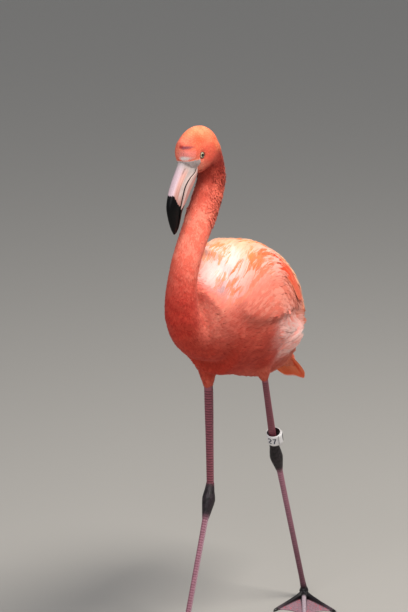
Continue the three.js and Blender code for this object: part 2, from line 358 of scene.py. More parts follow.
# The regions of the coat.
# Each has places on the folded bird. depth is how far the skin lies inside the outline, and share is how
# much of the plain tone gives way to the streak.
regions = {
    "forehead": {
        "at": [inHead(0, 2, 22), inHead(12, 10, 22), inHead(16, 22, 12)], "reach": 9, "depth": 0.8,
        "spacing": 1.15, "length": 2.6, "width": 1.3, "lift": 9,
        "plain": "F27058", "streak": "FF8C6C", "share": 0.4, "tip": "FF9A82",
    },
    "brow": {
        "at": [inHead(16, 16, 22), inHead(19, 22, 20), inHead(20, 26, 30)], "reach": 7, "depth": 0.9,
        "spacing": 1.2, "length": 3, "width": 1.4, "lift": 9,
        "plain": "F0502E", "streak": "F86A40", "share": 0.4, "tip": "FA7E58",
    },
    "crown": {
        "at": [inHead(0, 30, 47), inHead(0, 55, 49), inHead(14, 50, 40), inHead(0, 76, 34)],
        "reach": 12, "depth": 1,
        "spacing": 1.3, "length": 3.6, "width": 1.6, "lift": 10,
        "plain": "FC7C50", "streak": "FF966A", "share": 0.45, "tip": "FFA684",
    },
    "cheek": {
        "at": [inHead(21, 42, 8), inHead(21, 50, -8)], "reach": 11, "depth": 1,
        "spacing": 1.3, "length": 3.4, "width": 1.5, "lift": 11,
        "plain": "F45C48", "streak": "FA7054", "share": 0.35, "tip": "F27258",
    },
    # jaw: pale tones, painted light along the lower edge of the jaw
    "jaw": {
        "at": [inHead(18, 34, -18), inHead(12, 30, -30)], "reach": 9, "depth": 1,
        "spacing": 1.3, "length": 3.4, "width": 1.5, "lift": 11,
        "plain": "FF9276", "streak": "FFA68C", "share": 0.35, "tip": "FFA48C",
    },
    "occiput": {
        "at": [inHead(0, 72, 40), inHead(0, 86, 26), inHead(14, 74, 28)], "reach": 9, "depth": 0.6,
        "spacing": 1.4, "length": 4.6, "width": 1.9, "lift": 11,
        "plain": "F06440", "streak": "FA8258", "share": 0.4, "tip": "FA8C66",
    },
    # nape: very dark red, painted shade on the neck just behind and under the jaw
    "nape": {
        "at": [(12, -117, 867), (16, -112, 858), (20, -106, 866), (22, -104, 850)],
        "reach": 14, "depth": 1.8,
        "spacing": 1.6, "length": 6.4, "width": 2.2, "lift": 8,
        "plain": "720A08", "streak": "8C1612", "share": 0.4, "tip": "9A2018",
    },
    # throat: darker red, painted shade under the jaw
    "throat": {
        "at": [inHead(0, 50, -40), (0, -124, 852), (6, -136, 834)], "reach": 14, "depth": 1.6,
        "spacing": 1.55, "length": 6, "width": 2.1, "lift": 8,
        "plain": "BC3A2E", "streak": "CE4A3C", "share": 0.4, "tip": "D85644",
    },
    # ruffle: lifted tufts, whose dark plain tone is painted shade between the ruffles
    "ruffle": {
        "at": [(18, -92, 858), (23, -108, 832), (24, -112, 816), (25, -124, 802)],
        "reach": 13, "depth": 2.6,
        "spacing": 3.2, "length": 8, "width": 4, "lift": 34,
        "plain": "7C120C", "streak": "FF6C4E", "share": 0.4, "tip": "FA7258",
    },
    "neck": {
        "at": [(0, -125, 815), (22, -140, 790), (0, -170, 750), (22, -185, 725)], "reach": 30, "depth": 2.2,
        "spacing": 1.8, "length": 7.5, "width": 2.6, "lift": 7.5,
        "plain": "FA6E56", "streak": "FF8C74", "share": 0.4, "tip": "FF9A84",
    },
    # crop: deep red, partly its own colour and partly painted shade where it faces down
    "crop": {
        "at": [(0, -210, 680), (26, -205, 660), (0, -232, 640)], "reach": 30, "depth": 3,
        "spacing": 2.2, "length": 9.5, "width": 3.2, "lift": 7,
        "plain": "BA2820", "streak": "CC3C2E", "share": 0.4, "tip": "E05848",
    },
    # breast: deep red, partly its own colour and partly painted shade on the underside
    "breast": {
        "at": [(0, -205, 590), (30, -185, 590), (45, -150, 585), (0, -150, 548)], "reach": 30, "depth": 4,
        "spacing": 3.0, "length": 14, "width": 5, "lift": 7.5,
        "plain": "B62A1E", "streak": "CA3E2C", "share": 0.4, "tip": "D44E3A",
    },
    # shoulder: pale orange-pink, painted light on the top of the shoulder's bulge
    "shoulder": {
        "at": [(32, -170, 650), (46, -158, 638), (42, -166, 618)], "reach": 17, "depth": 3.5,
        "spacing": 3.1, "length": 12, "width": 4.8, "lift": 10,
        "plain": "FF846E", "streak": "FF9C84", "share": 0.45, "tip": "FFAA94",
    },
    # belly: deep red, partly its own colour and partly painted shade underneath
    "belly": {
        "at": [(0, -60, 500), (45, -70, 520), (66, -30, 530), (0, 30, 482)],
        "reach": 30, "depth": 4.5,
        "spacing": 3.5, "length": 18, "width": 5.8, "lift": 7,
        "plain": "B82E20", "streak": "CA4230", "share": 0.4, "tip": "D0503C",
    },
    "side": {
        "at": [(62, -136, 604), (72, -112, 618)], "reach": 18, "depth": 5,
        "spacing": 3.7, "length": 20, "width": 6.6, "lift": 7,
        "plain": "E05E4C", "streak": "EE7C6A", "share": 0.4, "tip": "F68E7C",
    },
    # flank: deep red, partly its own colour and partly painted shade below the wing
    "flank": {
        "at": [(66, -100, 600), (78, -50, 585), (80, -10, 572)], "reach": 22, "depth": 5,
        "spacing": 4.2, "length": 26, "width": 8, "lift": 7,
        "plain": "BC3424", "streak": "D0503C", "share": 0.4, "tip": "DC6650",
    },
    "puff": {
        "at": [(78, 24, 572), (78, 58, 562), (72, 92, 556), (70, 70, 536)], "reach": 18, "depth": 6.5,
        "spacing": 5.2, "length": 36, "width": 12, "lift": 10,
        "plain": "FF9484", "streak": "FFBEB2", "share": 0.5, "tip": "FFE2DA",
    },
    "vent": {
        "at": [(0, 180, 480), (30, 160, 490), (50, 150, 520)], "reach": 22, "depth": 4.5,
        "spacing": 4.8, "length": 20, "width": 8.4, "lift": 5,
        "plain": "D85A40", "streak": "EA7C5E", "share": 0.5, "tip": "F08E70",
    },
    "undertail": {
        "at": [(0, 90, 474), (28, 90, 478), (0, 140, 466), (26, 135, 474)], "reach": 24, "depth": 4.5,
        "spacing": 5.2, "length": 30, "width": 12, "lift": 8,
        "plain": "C44630", "streak": "D8644C", "share": 0.4, "tip": "E07860",
    },
    # hollow: grey-mauve, painted shade in the hollow between the neck and the wing
    "hollow": {
        "at": [(44, -138, 680)], "reach": 8, "depth": 6,
        "spacing": 4.5, "length": 12, "width": 5.6, "lift": 8,
        "plain": "94686E", "streak": "A87A84", "share": 0.4, "tip": "B28690",
    },
    "collar": {
        "at": [(0, -112, 724), (14, -116, 720), (24, -130, 704), (18, -142, 696), (28, -100, 724)],
        "reach": 14, "depth": 5,
        "spacing": 4.6, "length": 34, "width": 9, "lift": 8,
        "plain": "FFE0DA", "streak": "FFB484", "share": 0.4, "tip": "FFE8E0",
    },
    "mantle": {
        "at": [(44, -110, 706), (50, -120, 690), (34, -92, 720)], "reach": 17, "depth": 7,
        "spacing": 5.4, "length": 58, "width": 9, "lift": 4,
        "plain": "FFDCD8", "streak": "FC8C58", "share": 0.42, "tip": "FFE6E2",
    },
    "scapular": {
        "at": [(62, -92, 690), (66, -50, 697), (60, -5, 702), (50, 40, 696)], "reach": 20, "depth": 8,
        "spacing": 5.2, "length": 60, "width": 9, "lift": 3,
        "plain": "FFB4A4", "streak": "F2602C", "share": 0.4, "tip": "FFBAAA",
    },
    "shawl": {
        "at": [(66, 62, 680), (74, 74, 660), (79, 86, 636)], "reach": 10, "depth": 8,
        "spacing": 5, "length": 52, "width": 9, "lift": 2.5,
        "plain": "E64A22", "streak": "FF8A60", "share": 0.35, "tip": "F06A40",
    },
    "back": {
        "at": [
            (0, -74, 736), (24, -48, 734), (0, -15, 729), (0, 40, 712), (0, 90, 686), (20, 130, 648),
            (0, 160, 612),
        ],
        "reach": 28, "depth": 9,
        "spacing": 6, "length": 56, "width": 9, "lift": 3.4,
        "plain": "FFC09A", "streak": "FF9040", "share": 0.38, "tip": "FFCCAC",
    },
    "covert": {
        "at": [(72, -85, 655), (80, -50, 660), (86, -15, 650), (84, -40, 625), (88, 10, 620)],
        "reach": 20, "depth": 6.5,
        "spacing": 5.4, "length": 25, "width": 10, "lift": 5,
        "plain": "F67E66", "streak": "FF9A84", "share": 0.4, "tip": "FFA492",
    },
    "secondary": {
        "at": [(84, 50, 640), (82, 72, 634), (80, 84, 605), (74, 112, 600)], "reach": 20, "depth": 7.5,
        "spacing": 4.5, "length": 36, "width": 7.5, "lift": 2.5,
        "plain": "E0745C", "streak": "F49A86", "share": 0.45, "tip": "F08A74",
    },
    "thigh": {
        "at": [(40, 20, 480), (38, -25, 475)], "reach": 14, "depth": 2.4,
        "spacing": 2.4, "length": 9, "width": 3.2, "lift": 9,
        "plain": "D0503C", "streak": "DC6A54", "share": 0.4, "tip": "E48870",
    },
}
tones = ("plain", "streak", "tip")


def regionWeights(place):
    weights = []
    for region in regions.values():
        nearest = np.min([np.sum((place - np.array(at)) ** 2, axis=1) for at in region["at"]], axis=0)
        away = nearest / (2 * region["reach"] ** 2)
        weights.append(np.exp(-away) + 1e-6 / (1 + away))
    weights = np.array(weights)
    return (weights / weights.sum(0)).T


def regionValue(weights, key):
    if key in tones:
        return weights @ np.array([tone(region[key]) for region in regions.values()])
    return weights @ np.array([region[key] for region in regions.values()], float)


def regionShare(place, name):
    return regionWeights(place)[:, list(regions).index(name)]


# The line under the scapulars, where the streaks of the wing run along.
streakLine = [
    (0, -150, 640), (0, -117, 662), (0, -80, 674), (0, -45, 684),
    (0, -5, 688), (0, 35, 668), (0, 74, 624), (0, 110, 575),
]
streakStretch = 0.12  # how little the streaks change along the line


def streakFlow(points):
    place = folded(points) * [0, 1, 1]
    along, away, out, way = alongLine(place, streakLine)
    above = np.sign(out[:, 2] * way[:, 1] - out[:, 1] * way[:, 2])
    flow = np.stack([away * above, along * streakStretch, np.zeros(len(place))], 1)
    return 0.6 * wobble(flow, 8, 4) + 0.6 * wobble(flow, 3.4, 9)


# Zones that the coat pieces cover.
# The closed wing's outline from the side, as back and up.
wingOutline = [
    (-118, 628), (-150, 672), (-160, 700), (-150, 760), (120, 760), (190, 700),
    (205, 620), (172, 560), (120, 578), (60, 592), (-10, 597), (-70, 603),
]


def insideWing(place):
    y, z = place[:, 1], place[:, 2]
    inside = np.zeros(len(place), bool)
    corners = np.array(wingOutline, float)
    for (y1, z1), (y2, z2) in zip(corners, np.roll(corners, -1, axis=0)):
        crosses = (z1 > z) != (z2 > z)
        rise = np.where(abs(z2 - z1) < 1e-9, 1e-9, z2 - z1)
        inside ^= crosses & (y < (y2 - y1) * (z - z1) / rise + y1)
    return inside


bare = {
    "line": -3,  # feathers stop at this height in front of the eye
    "dip": (3, 16, 28),  # how far the line dips, and where, going back
    "waver": 0.35,
    "cheek": (28.2, 0.25, -12),  # the bare part ends this far back, at a slope from a height
    "corner": 24.5,  # and is cut off aslant below the eye
    "strip": {"up": -4.5, "slope": 0.15, "from": 20, "half": 2.8, "back": (14, 28.5)},
    "eye": 7.2,  # distance from the middle of the eye
    "eyeTall": 1.15,
    "sideOnly": 10,
}


def bareSkin(points, round=True):
    head = toHead(points)
    across, back, up = np.abs(head[:, 0]), head[:, 1], head[:, 2]
    dip, start, end = bare["dip"]
    edge = bare["line"] - dip * ramp(back, start, end) + bare["waver"] * wobble(head, 8, 11)
    limit, slope, level = bare["cheek"]
    lores = (up < edge) & (back < limit + slope * (up - level)) & (back + 0.9 * up < bare["corner"])
    eyeBack, eyeUp = headPlan["eye"][1:]
    eye = (np.hypot(back - eyeBack, (up - eyeUp) * bare["eyeTall"]) < bare["eye"]) & round
    strip = bare["strip"]
    corner = np.abs(up - strip["up"] - strip["slope"] * (back - strip["from"])) < strip["half"]
    corner &= (back > strip["back"][0]) & (back < strip["back"][1])
    near = headShare(points) > 0.9
    return near & (lores | ((eye | corner) & (across > bare["sideOnly"])))


# The bird's spine, from the forehead over the neck to the tail, folded on the middle plane.
spine = [
    (0, -183, 915), (0, -150, 925), (0, -115, 905), (0, -97, 860), (0, -112, 822),
    (0, -172, 750), (0, -198, 705), (0, -204, 665), (0, -188, 620), (0, -120, 608),
    (0, 0, 608), (0, 110, 575), (0, 230, 420),
]
neckSpine = spine[3:9]


def alongLine(place, line):
    line = np.array(line, float)
    starts, ways = line[:-1], np.diff(line, axis=0)
    lengths = np.linalg.norm(ways, axis=1)
    before = np.concatenate([[0], np.cumsum(lengths)])
    share = np.sum((place[:, None] - starts) * ways, axis=2) / lengths**2
    share = np.clip(share, 0, 1)
    out = place[:, None] - (starts + share[..., None] * ways)
    away = np.linalg.norm(out, axis=2)
    best = away.argmin(1)
    rows = np.arange(len(place))
    along = before[best] + share[rows, best] * lengths[best]
    return along, away[rows, best], out[rows, best], ways[best] / lengths[best][:, None]


zones = {
    "neckReach": 46,  # how far from the neck's line its feathers go, above the first height
    "neckAbove": 735,
    "foldReach": 38,  # and less far where the neck meets the body
    "foldAbove": 615,
    "foldFront": -150,
    "headAbove": -36,
}


def zonesOf(points):
    place, body, head = folded(points), toBody(points), toHead(points)
    zone = np.full(len(points), "lower", dtype="<U8")
    zone[insideWing(place)] = "upper"
    away = alongLine(place, neckSpine)[1]
    fold = (away < zones["foldReach"]) & (place[:, 1] < zones["foldFront"])
    fold &= place[:, 2] > zones["foldAbove"]
    zone[(away < zones["neckReach"]) & ((place[:, 2] > zones["neckAbove"]) | fold)] = "neck"
    zone[(headShare(points) > 0.5) & (head[:, 2] > zones["headAbove"])] = "head"
    zone[thighShare(body)[0] > 0.5] = "thigh"
    return zone


# The body's skin.
flesh = {
    "body": (
        "head", "neck_upper", "neck_middle", "neck_lower", "trunk", "wing_left", "wing_right", "tail",
        "thigh_left", "thigh_right",
    ),
    "bill": ("bill_upper", "bill_lower"),
    "swell": 0.4,  # closes the small gaps between the solids
    "voxel": 3.0,
    "smoothing": 7,
    "evening": 2,  # once the skin has been sunk
    "softened": 12,  # below the horn of the bill
    # extra, where the front of the wing meets the breast, within limits across, back and up
    "front": {"times": 26, "across": 12, "back": (-160, -25), "up": (560, 735)},
    "nape": {"times": 30, "back": 62, "up": -30},
    # place, reach and times, where the left thigh meets the belly and the wing's corner the rump
    "blends": [((60, -2, 520), 46, 40), ((76, 114, 580), 40, 30)],
    "headDetail": 2,
    "billCut": 7,  # how far into the bill the skin reaches
    "billEnd": -130,
    "billBack": (45, 0.55, -20),  # the bill goes this far back, at a slope from a height
    "tailCut": (205, 0.5, 460),  # and the skin this far, likewise
    "bareDepth": 0.3,
    "underHorn": 5.0,  # how much deeper the skin runs on below the horn of the bill
    "lumps": (9, 0.25),  # width and height of the skin's own lumps
}


# Patches on the forehead: across and up from the bill's base, and half sizes.
marks = {
    "flush": {"middle": (9, 9), "half": (10, 6.5), "soft": 0.8, "tone": "FF9A92", "amount": 0.8},
    # blazeHighlight: a pale patch over the bill, partly its own pale colour and partly a painted highlight
    # on the swelling
    "blazeHighlight": {"middle": (8, 2.6), "half": (6.8, 3.1), "soft": 0.6, "tone": "FFEDE6", "amount": 1},
    # crease and spot: painted shade in a crease across the forehead, darkest in the spot at its end
    "crease": {"middle": (9, 20.5), "half": (7.5, 2.4), "soft": 0.6, "tone": "6A3A54", "amount": 0.75},
    "spot": {"middle": (2.5, 22), "half": (2.8, 2.6), "soft": 0.6, "tone": "B81E22", "amount": 0.7},
}


def markShare(mark, points):
    head = toHead(points)
    (across, up), (wide, tall) = mark["middle"], mark["half"]
    away = np.hypot((head[:, 0] - across) / wide, (head[:, 2] - up) / tall)
    here = (head[:, 1] < 18) & (headShare(points) > 0.9)
    return mark["amount"] * (1 - ramp(away, 1 - mark["soft"], 1 + mark["soft"])) * here


def hornLine(back):
    # the height where the horn of the bill begins, along its side
    return -5 - 17 * ramp(back, -2, 27)


def soften(bm, verts, times):
    for _ in range(times):
        bmesh.ops.smooth_vert(
            bm, verts=verts, factor=0.5, use_axis_x=True, use_axis_y=True, use_axis_z=True
        )


def bodySkin():
    skin = joinedNodes("skin", flesh["body"] + flesh["bill"], flesh["swell"])
    applied(skin, "REMESH", mode="VOXEL", voxel_size=flesh["voxel"] * mm)
    applied(skin, "SMOOTH", factor=0.5, iterations=flesh["smoothing"])
    bm = bmesh.new()
    bm.from_mesh(skin.data)
    # what lies beyond the bill's base and the tail's root comes off
    head, body = toHead(bmPlaces(bm)), toBody(bmPlaces(bm))
    beyond = (head[:, 2] > flesh["billEnd"]) & (head[:, 2] < hornLine(head[:, 1]) - flesh["billCut"])
    limit, slope, level = flesh["billBack"]
    beyond &= head[:, 1] < limit + slope * (head[:, 2] - level)
    limit, slope, level = flesh["tailCut"]
    beyond |= body[:, 1] > limit + slope * (body[:, 2] - level)
    bmesh.ops.delete(bm, geom=picked(bm, beyond), context="VERTS")
    bmesh.ops.holes_fill(bm, edges=[e for e in bm.edges if e.is_boundary], sides=0)
    bmesh.ops.triangulate(bm, faces=[f for f in bm.faces if len(f.verts) > 4])
    # creases between the solids are rounded over
    body = toBody(bmPlaces(bm))
    front = flesh["front"]
    rounded = (body[:, 1] > front["back"][0]) & (body[:, 1] < front["back"][1])
    rounded &= (body[:, 2] > front["up"][0]) & (body[:, 2] < front["up"][1])
    rounded &= np.abs(body[:, 0]) > front["across"]
    soften(bm, picked(bm, rounded), front["times"])
    for middle, around, times in flesh["blends"]:
        near = np.linalg.norm(folded(toFrame(body)) - middle, axis=1) < around
        soften(bm, picked(bm, near), times)
    head = toHead(bmPlaces(bm))
    nape = (head[:, 1] > flesh["nape"]["back"]) & (head[:, 2] > flesh["nape"]["up"])
    soften(bm, picked(bm, nape), flesh["nape"]["times"])
    for _ in range(flesh["headDetail"]):
        points = bmPlaces(bm)
        near = set(picked(bm, (headShare(points) > 0.6) & (toHead(points)[:, 2] > -45)))
        edges = [e for e in bm.edges if e.verts[0] in near and e.verts[1] in near]
        bmesh.ops.subdivide_edges(bm, edges=edges, cuts=1, use_grid_fill=True, smooth=0.0)
    bmesh.ops.triangulate(bm, faces=[f for f in bm.faces if len(f.verts) > 4])
    bm.to_mesh(skin.data)
    bm.free()
    return skin


def sunk(skin):
    mesh = skin.data
    points, normals = placesOf(mesh), normalsOf(mesh)
    depth = regionValue(regionWeights(folded(points)), "depth")
    head, near = toHead(points), headShare(points)
    beyond = ramp(hornLine(head[:, 1]) - head[:, 2], -0.5, 4) * (near > 0.9) * (head[:, 1] < 40)
    depth = np.where(bareSkin(points), flesh["bareDepth"], depth) + flesh["underHorn"] * beyond
    width, height = flesh["lumps"]
    lumps = wobble(points / mm, width, 5) * height * ramp(-near, -0.9, -0.2)
    movePlaces(mesh, points - normals * ((depth + lumps) * mm)[:, None])
    bm = bmesh.new()
    bm.from_mesh(mesh)
    soften(bm, picked(bm, beyond > 0.3), flesh["softened"])
    bm.to_mesh(mesh)
    bm.free()


skin = bodySkin()
sunk(skin)
smoothed(skin.data)
applied(skin, "SMOOTH", factor=0.5, iterations=flesh["evening"])
print("skin", len(skin.data.vertices))


# The skin as a surface that feathers walk on.
def surfaceOf(mesh):
    mesh.calc_loop_triangles()
    corners = np.empty(len(mesh.loop_triangles) * 3, np.int32)
    mesh.loop_triangles.foreach_get("vertices", corners)
    corners = corners.reshape(-1, 3)
    points, normals = placesOf(mesh), normalsOf(mesh)
    a, b, c = (points[corners[:, i]] for i in range(3))
    return {
        "corners": corners,
        "points": points,
        "normals": normals,
        "facing": unit(normals[corners].mean(1)),
        "tree": BVHTree.FromPolygons(points.tolist(), corners.tolist()),
        "size": np.linalg.norm(np.cross(b - a, c - a), axis=1) / 2,
    }


surface = surfaceOf(skin.data)


def nearestOnSkin(points):
    found, facing = np.empty_like(points), np.empty_like(points)
    nearest = surface["tree"].find_nearest
    for i, point in enumerate(points.tolist()):
        place, _, face, _ = nearest(point)
        found[i] = place
        facing[i] = surface["facing"][face]
    return found, facing


# Roots are drawn at random, this many for each that has room, and each clears this share of its spacing.
thinning = {"candidates": 2.6, "closeness": 0.82}


def scattered(chosen, seed, apart):
    rng = np.random.default_rng(seed)
    corners = surface["corners"][chosen]
    size = surface["size"][chosen]
    middle = surface["points"][corners].mean(1)
    spacing = regionValue(regionWeights(folded(middle)), "spacing") * mm * apart
    expected = thinning["candidates"] * size / spacing**2
    picks = rng.choice(len(corners), size=int(expected.sum()), p=expected / expected.sum())
    a, b = rng.random((2, len(picks)))
    over = a + b > 1
    a, b = np.where(over, 1 - a, a), np.where(over, 1 - b, b)
    share = np.stack([1 - a - b, a, b], 1)[:, :, None]
    points = (surface["points"][corners[picks]] * share).sum(1)
    normals = unit((surface["normals"][corners[picks]] * share).sum(1))
    radius = spacing[picks] * thinning["closeness"]
    tree = kdtree.KDTree(len(points))
    for i, point in enumerate(points.tolist()):
        tree.insert(point, i)
    tree.balance()
    free = np.ones(len(points), bool)
    kept = []
    for i, point in enumerate(points.tolist()):
        if free[i]:
            kept.append(i)
            for _, j, _ in tree.find_range(point, radius[i]):
                free[j] = False
    return points[kept], normals[kept]


def turned(way, normals, angle):
    side = np.cross(normals, way)
    return way * np.cos(angle)[:, None] + side * np.sin(angle)[:, None]


def followed(points, normals, lengths, steps, angle, loose):
    # a path for each feather that walks over the skin along the lie
    places, facings = [points], [normals]
    for _ in range(steps):
        way = turned(headingAt(points, normals), normals, angle)
        ahead = points + way * (lengths / steps)[:, None]
        found, facing = nearestOnSkin(ahead)
        held = (np.linalg.norm(found - ahead, axis=1) < loose)[:, None]
        points = np.where(held, found, ahead)
        normals = unit(np.where(held, facing, normals))
        places.append(points)
        facings.append(normals)
    return np.stack(places, 1), np.stack(facings, 1)


def alongPath(path, share):
    # path (M, K, 3) read at share (M, ...) from 0 to 1
    count = path.shape[1] - 1
    spot = np.clip(share, 0, 1) * count
    low = np.minimum(spot.astype(int), count - 1)
    part = (spot - low)[..., None]
    rows = np.arange(len(path)).reshape((-1,) + (1,) * (share.ndim - 1))
    return path[rows, low] * (1 - part) + path[rows, low + 1] * part


# Feathers and tufts, as fans of narrow blades that share a root.
bakePatch = 0.003  # the side of a feather's patch on the bake
bakeMargin = 0.01
pathStep = 0.06  # how far before and after a place a path is read for its direction there


def unwrapped(points):
    along, _, out, way = alongLine(straightened(points), spine)
    up = unit(np.cross(np.tile([1.0, 0, 0], (len(way), 1)), way))
    angle = np.arctan2(out[:, 0], np.sum(out * up, axis=1))
    return np.stack([angle / (2 * math.pi) + 0.5, along / 1000], 1)


def straightened(points):
    place = folded(points)
    share = headShare(points)
    place[:, 0] *= np.sign(np.where(share > 0.5, toHead(points)[:, 0], toBody(points)[:, 0]))
    return place


def bladeShapes(path, facing, look, rng, size):
    # size: length, width and lift of each feather, in metres and radians
    count, blades = len(path), look["blades"]
    u = np.linspace(-1, 1, blades)
    u = u[None] + rng.uniform(-0.5, 0.5, (count, blades)) * look["scatter"] / (blades - 1)
    reach = 1 - look["point"] * np.abs(u) ** 2 - look["ragged"] * rng.random((count, blades))
    t = np.linspace(0, 1, look["rows"] + 1)
    share = t * reach[..., None]  # feather, blade, row
    centre = alongPath(path, share)
    normal = unit(alongPath(facing, share))
    before, after = (alongPath(path, np.clip(share + step, 0, 1)) for step in (-pathStep, pathStep))
    side = unit(np.cross(normal, after - before))
    length, width, lift = (size[k][:, None, None] for k in ("length", "width", "lift"))
    opening = look["gather"] + (1 - look["gather"]) * ramp(share, 0, look["opens"])
    opening = opening * (1 - look["closes"] * share**2)
    lateral = u[..., None] * width / 2 * opening
    strand = rng.uniform(-1, 1, (count, blades))[..., None]
    height = share * length * np.sin(lift) + look["rise"] * mm
    height = height + look["stray"] * strand * length * share**1.5
    height = height - look["droop"] * (u[..., None] ** 2) * width * opening
    taper = (0.55 + 0.45 * ramp(t, 0, 0.35)) * (1 - ramp(t, look["taper"], 1) * 0.9)
    half = width / 2 / blades * look["overlap"] * taper * rng.uniform(0.8, 1.2, (count, blades, 1))
    ridge = centre + side * lateral[..., None] + normal * height[..., None]
    low = normal * (height - look["fold"] * half)[..., None]
    left = centre + side * (lateral - half)[..., None] + low
    right = centre + side * (lateral + half)[..., None] + low
    # three vertices for each row of a blade, and one for its tip
    rows = np.stack([left, ridge, right], 3)[:, :, :-1].reshape(count, blades, -1, 3)
    verts = np.concatenate([rows, ridge[:, :, -1:]], 2)
    skinward = np.concatenate([np.repeat(normal[:, :, :-1], 3, axis=2), normal[:, :, -1:]], 2)
    return u, t, verts, skinward


def bladeFaces(total, rows):
    # corners of the quads along a blade and of the two triangles at its tip, for every blade
    last = rows * 3 - 3
    quads = [(a, a + 3, a + 4, a + 1) for r in range(rows - 1) for a in (r * 3, r * 3 + 1)]
    tris = [(last, last + 3, last + 1), (last + 1, last + 3, last + 2)]
    offsets = np.arange(total)[:, None, None] * (rows * 3 + 1)
    quadIds, triIds = ((np.array(faces)[None] + offsets).reshape(-1) for faces in (quads, tris))
    totals = np.concatenate([np.full(len(quadIds) // 4, 4), np.full(len(triIds) // 3, 3)])
    return np.concatenate([quadIds, triIds]), totals


def bladeMesh(name, points, loops, totals):
    mesh = bpy.data.meshes.new(name)
    mesh.vertices.add(len(points))
    mesh.vertices.foreach_set("co", points.astype(np.float32).ravel())
    mesh.loops.add(len(loops))
    mesh.loops.foreach_set("vertex_index", loops.astype(np.int32))
    mesh.polygons.add(len(totals))
    mesh.polygons.foreach_set("loop_start", np.concatenate([[0], np.cumsum(totals)[:-1]]).astype(np.int32))
    mesh.polygons.foreach_set("loop_total", totals.astype(np.int32))
    mesh.update(calc_edges=True)
    smoothed(mesh)
    return mesh


def bladeTints(u, alongBlade, look, rng, colours):
    # a streak takes over a blade where its chance is high, the tip fades to its own tone, and the root is
    # darkened with painted shade
    featherChance, bladeChance = rng.random((len(u), 1)), rng.random(u.shape)
    chance = look["alike"] * featherChance + (1 - look["alike"]) * bladeChance
    limit = 1 - colours["share"][:, None]
    streaked = ramp(chance, limit - 0.18, limit + 0.18)[..., None]
    base = colours["plain"][:, None] * (1 - streaked) + colours["streak"][:, None] * streaked
    bright = 1 + look["mottle"] * (featherChance + rng.random(u.shape) - 1) * 2
    edge = (look["edge"] * ramp(np.abs(u), 0.5, 1))[..., None]
    base = (base * (1 - edge) + colours["tip"][:, None] * edge) * bright[..., None]
    fade = (look["tipFade"] * ramp(alongBlade, 0.35, 1))[None, None, :, None]
    shade = (1 - look["rootShade"] * (1 - ramp(alongBlade, 0, 0.5)))[None, None, :, None]
    return np.clip((base[:, :, None] * (1 - fade) + colours["tip"][:, None, None] * fade) * shade, 0, 1)


def bakePlaces(roots, u, alongBlade):
    # one small patch for each feather, at its root's place on the unwrapped skin
    spot = unwrapped(roots)
    low, high = spot.min(0), spot.max(0)
    spot = bakeMargin + (1 - 2 * bakeMargin) * (spot - low) / np.maximum(high - low, 1e-6)
    across = np.broadcast_to(u[..., None] / 2, (*u.shape, len(alongBlade)))
    inPatch = np.stack([across, np.broadcast_to(alongBlade - 0.5, across.shape)], -1) * bakePatch
    return spot[:, None, None] + inPatch


def grow(name, path, facing, look, rng, colours, size, material):
    # colours: plain, streak, tip and share for each feather
    u, t, verts, skinward = bladeShapes(path, facing, look, rng, size)
    loops, totals = bladeFaces(u.size, look["rows"])
    mesh = bladeMesh(name, verts.reshape(-1, 3), loops, totals)
    normals = normalsOf(mesh) * (1 - look["soft"]) + skinward.reshape(-1, 3) * look["soft"]
    mesh.normals_split_custom_set_from_vertices(unit(normals))
    alongBlade = np.concatenate([np.repeat(t[:-1], 3), [1.0]])
    paint(mesh, "tint", bladeTints(u, alongBlade, look, rng, colours).reshape(-1, 3))
    places = bakePlaces(path[:, 0], u, alongBlade).reshape(-1, 2)
    layer = mesh.uv_layers.new(name="OFBake")
    layer.data.foreach_set("uv", places[loops].astype(np.float32).ravel())
    mesh.materials.append(material)
    piece = keep(name, mesh)
    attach(piece, "root")
    print(name, len(path), "feathers", int(np.sum(totals - 2)), "triangles")


def coloursAt(points):
    weights = regionWeights(folded(points))
    colours = {key: regionValue(weights, key) for key in tones}
    for mark in marks.values():
        share = markShare(mark, points)[:, None]
        for key in tones:
            colours[key] = colours[key] * (1 - share) + tone(mark["tone"]) * share
    mottled = 0.2 * wobble(points / mm, 26, 3) + 0.3 * wobble(points / mm, 9, 8)
    patches = np.where(insideWing(folded(points)), 0.75 * streakFlow(points), mottled)
    colours["share"] = regionValue(weights, "share") + patches
    return colours


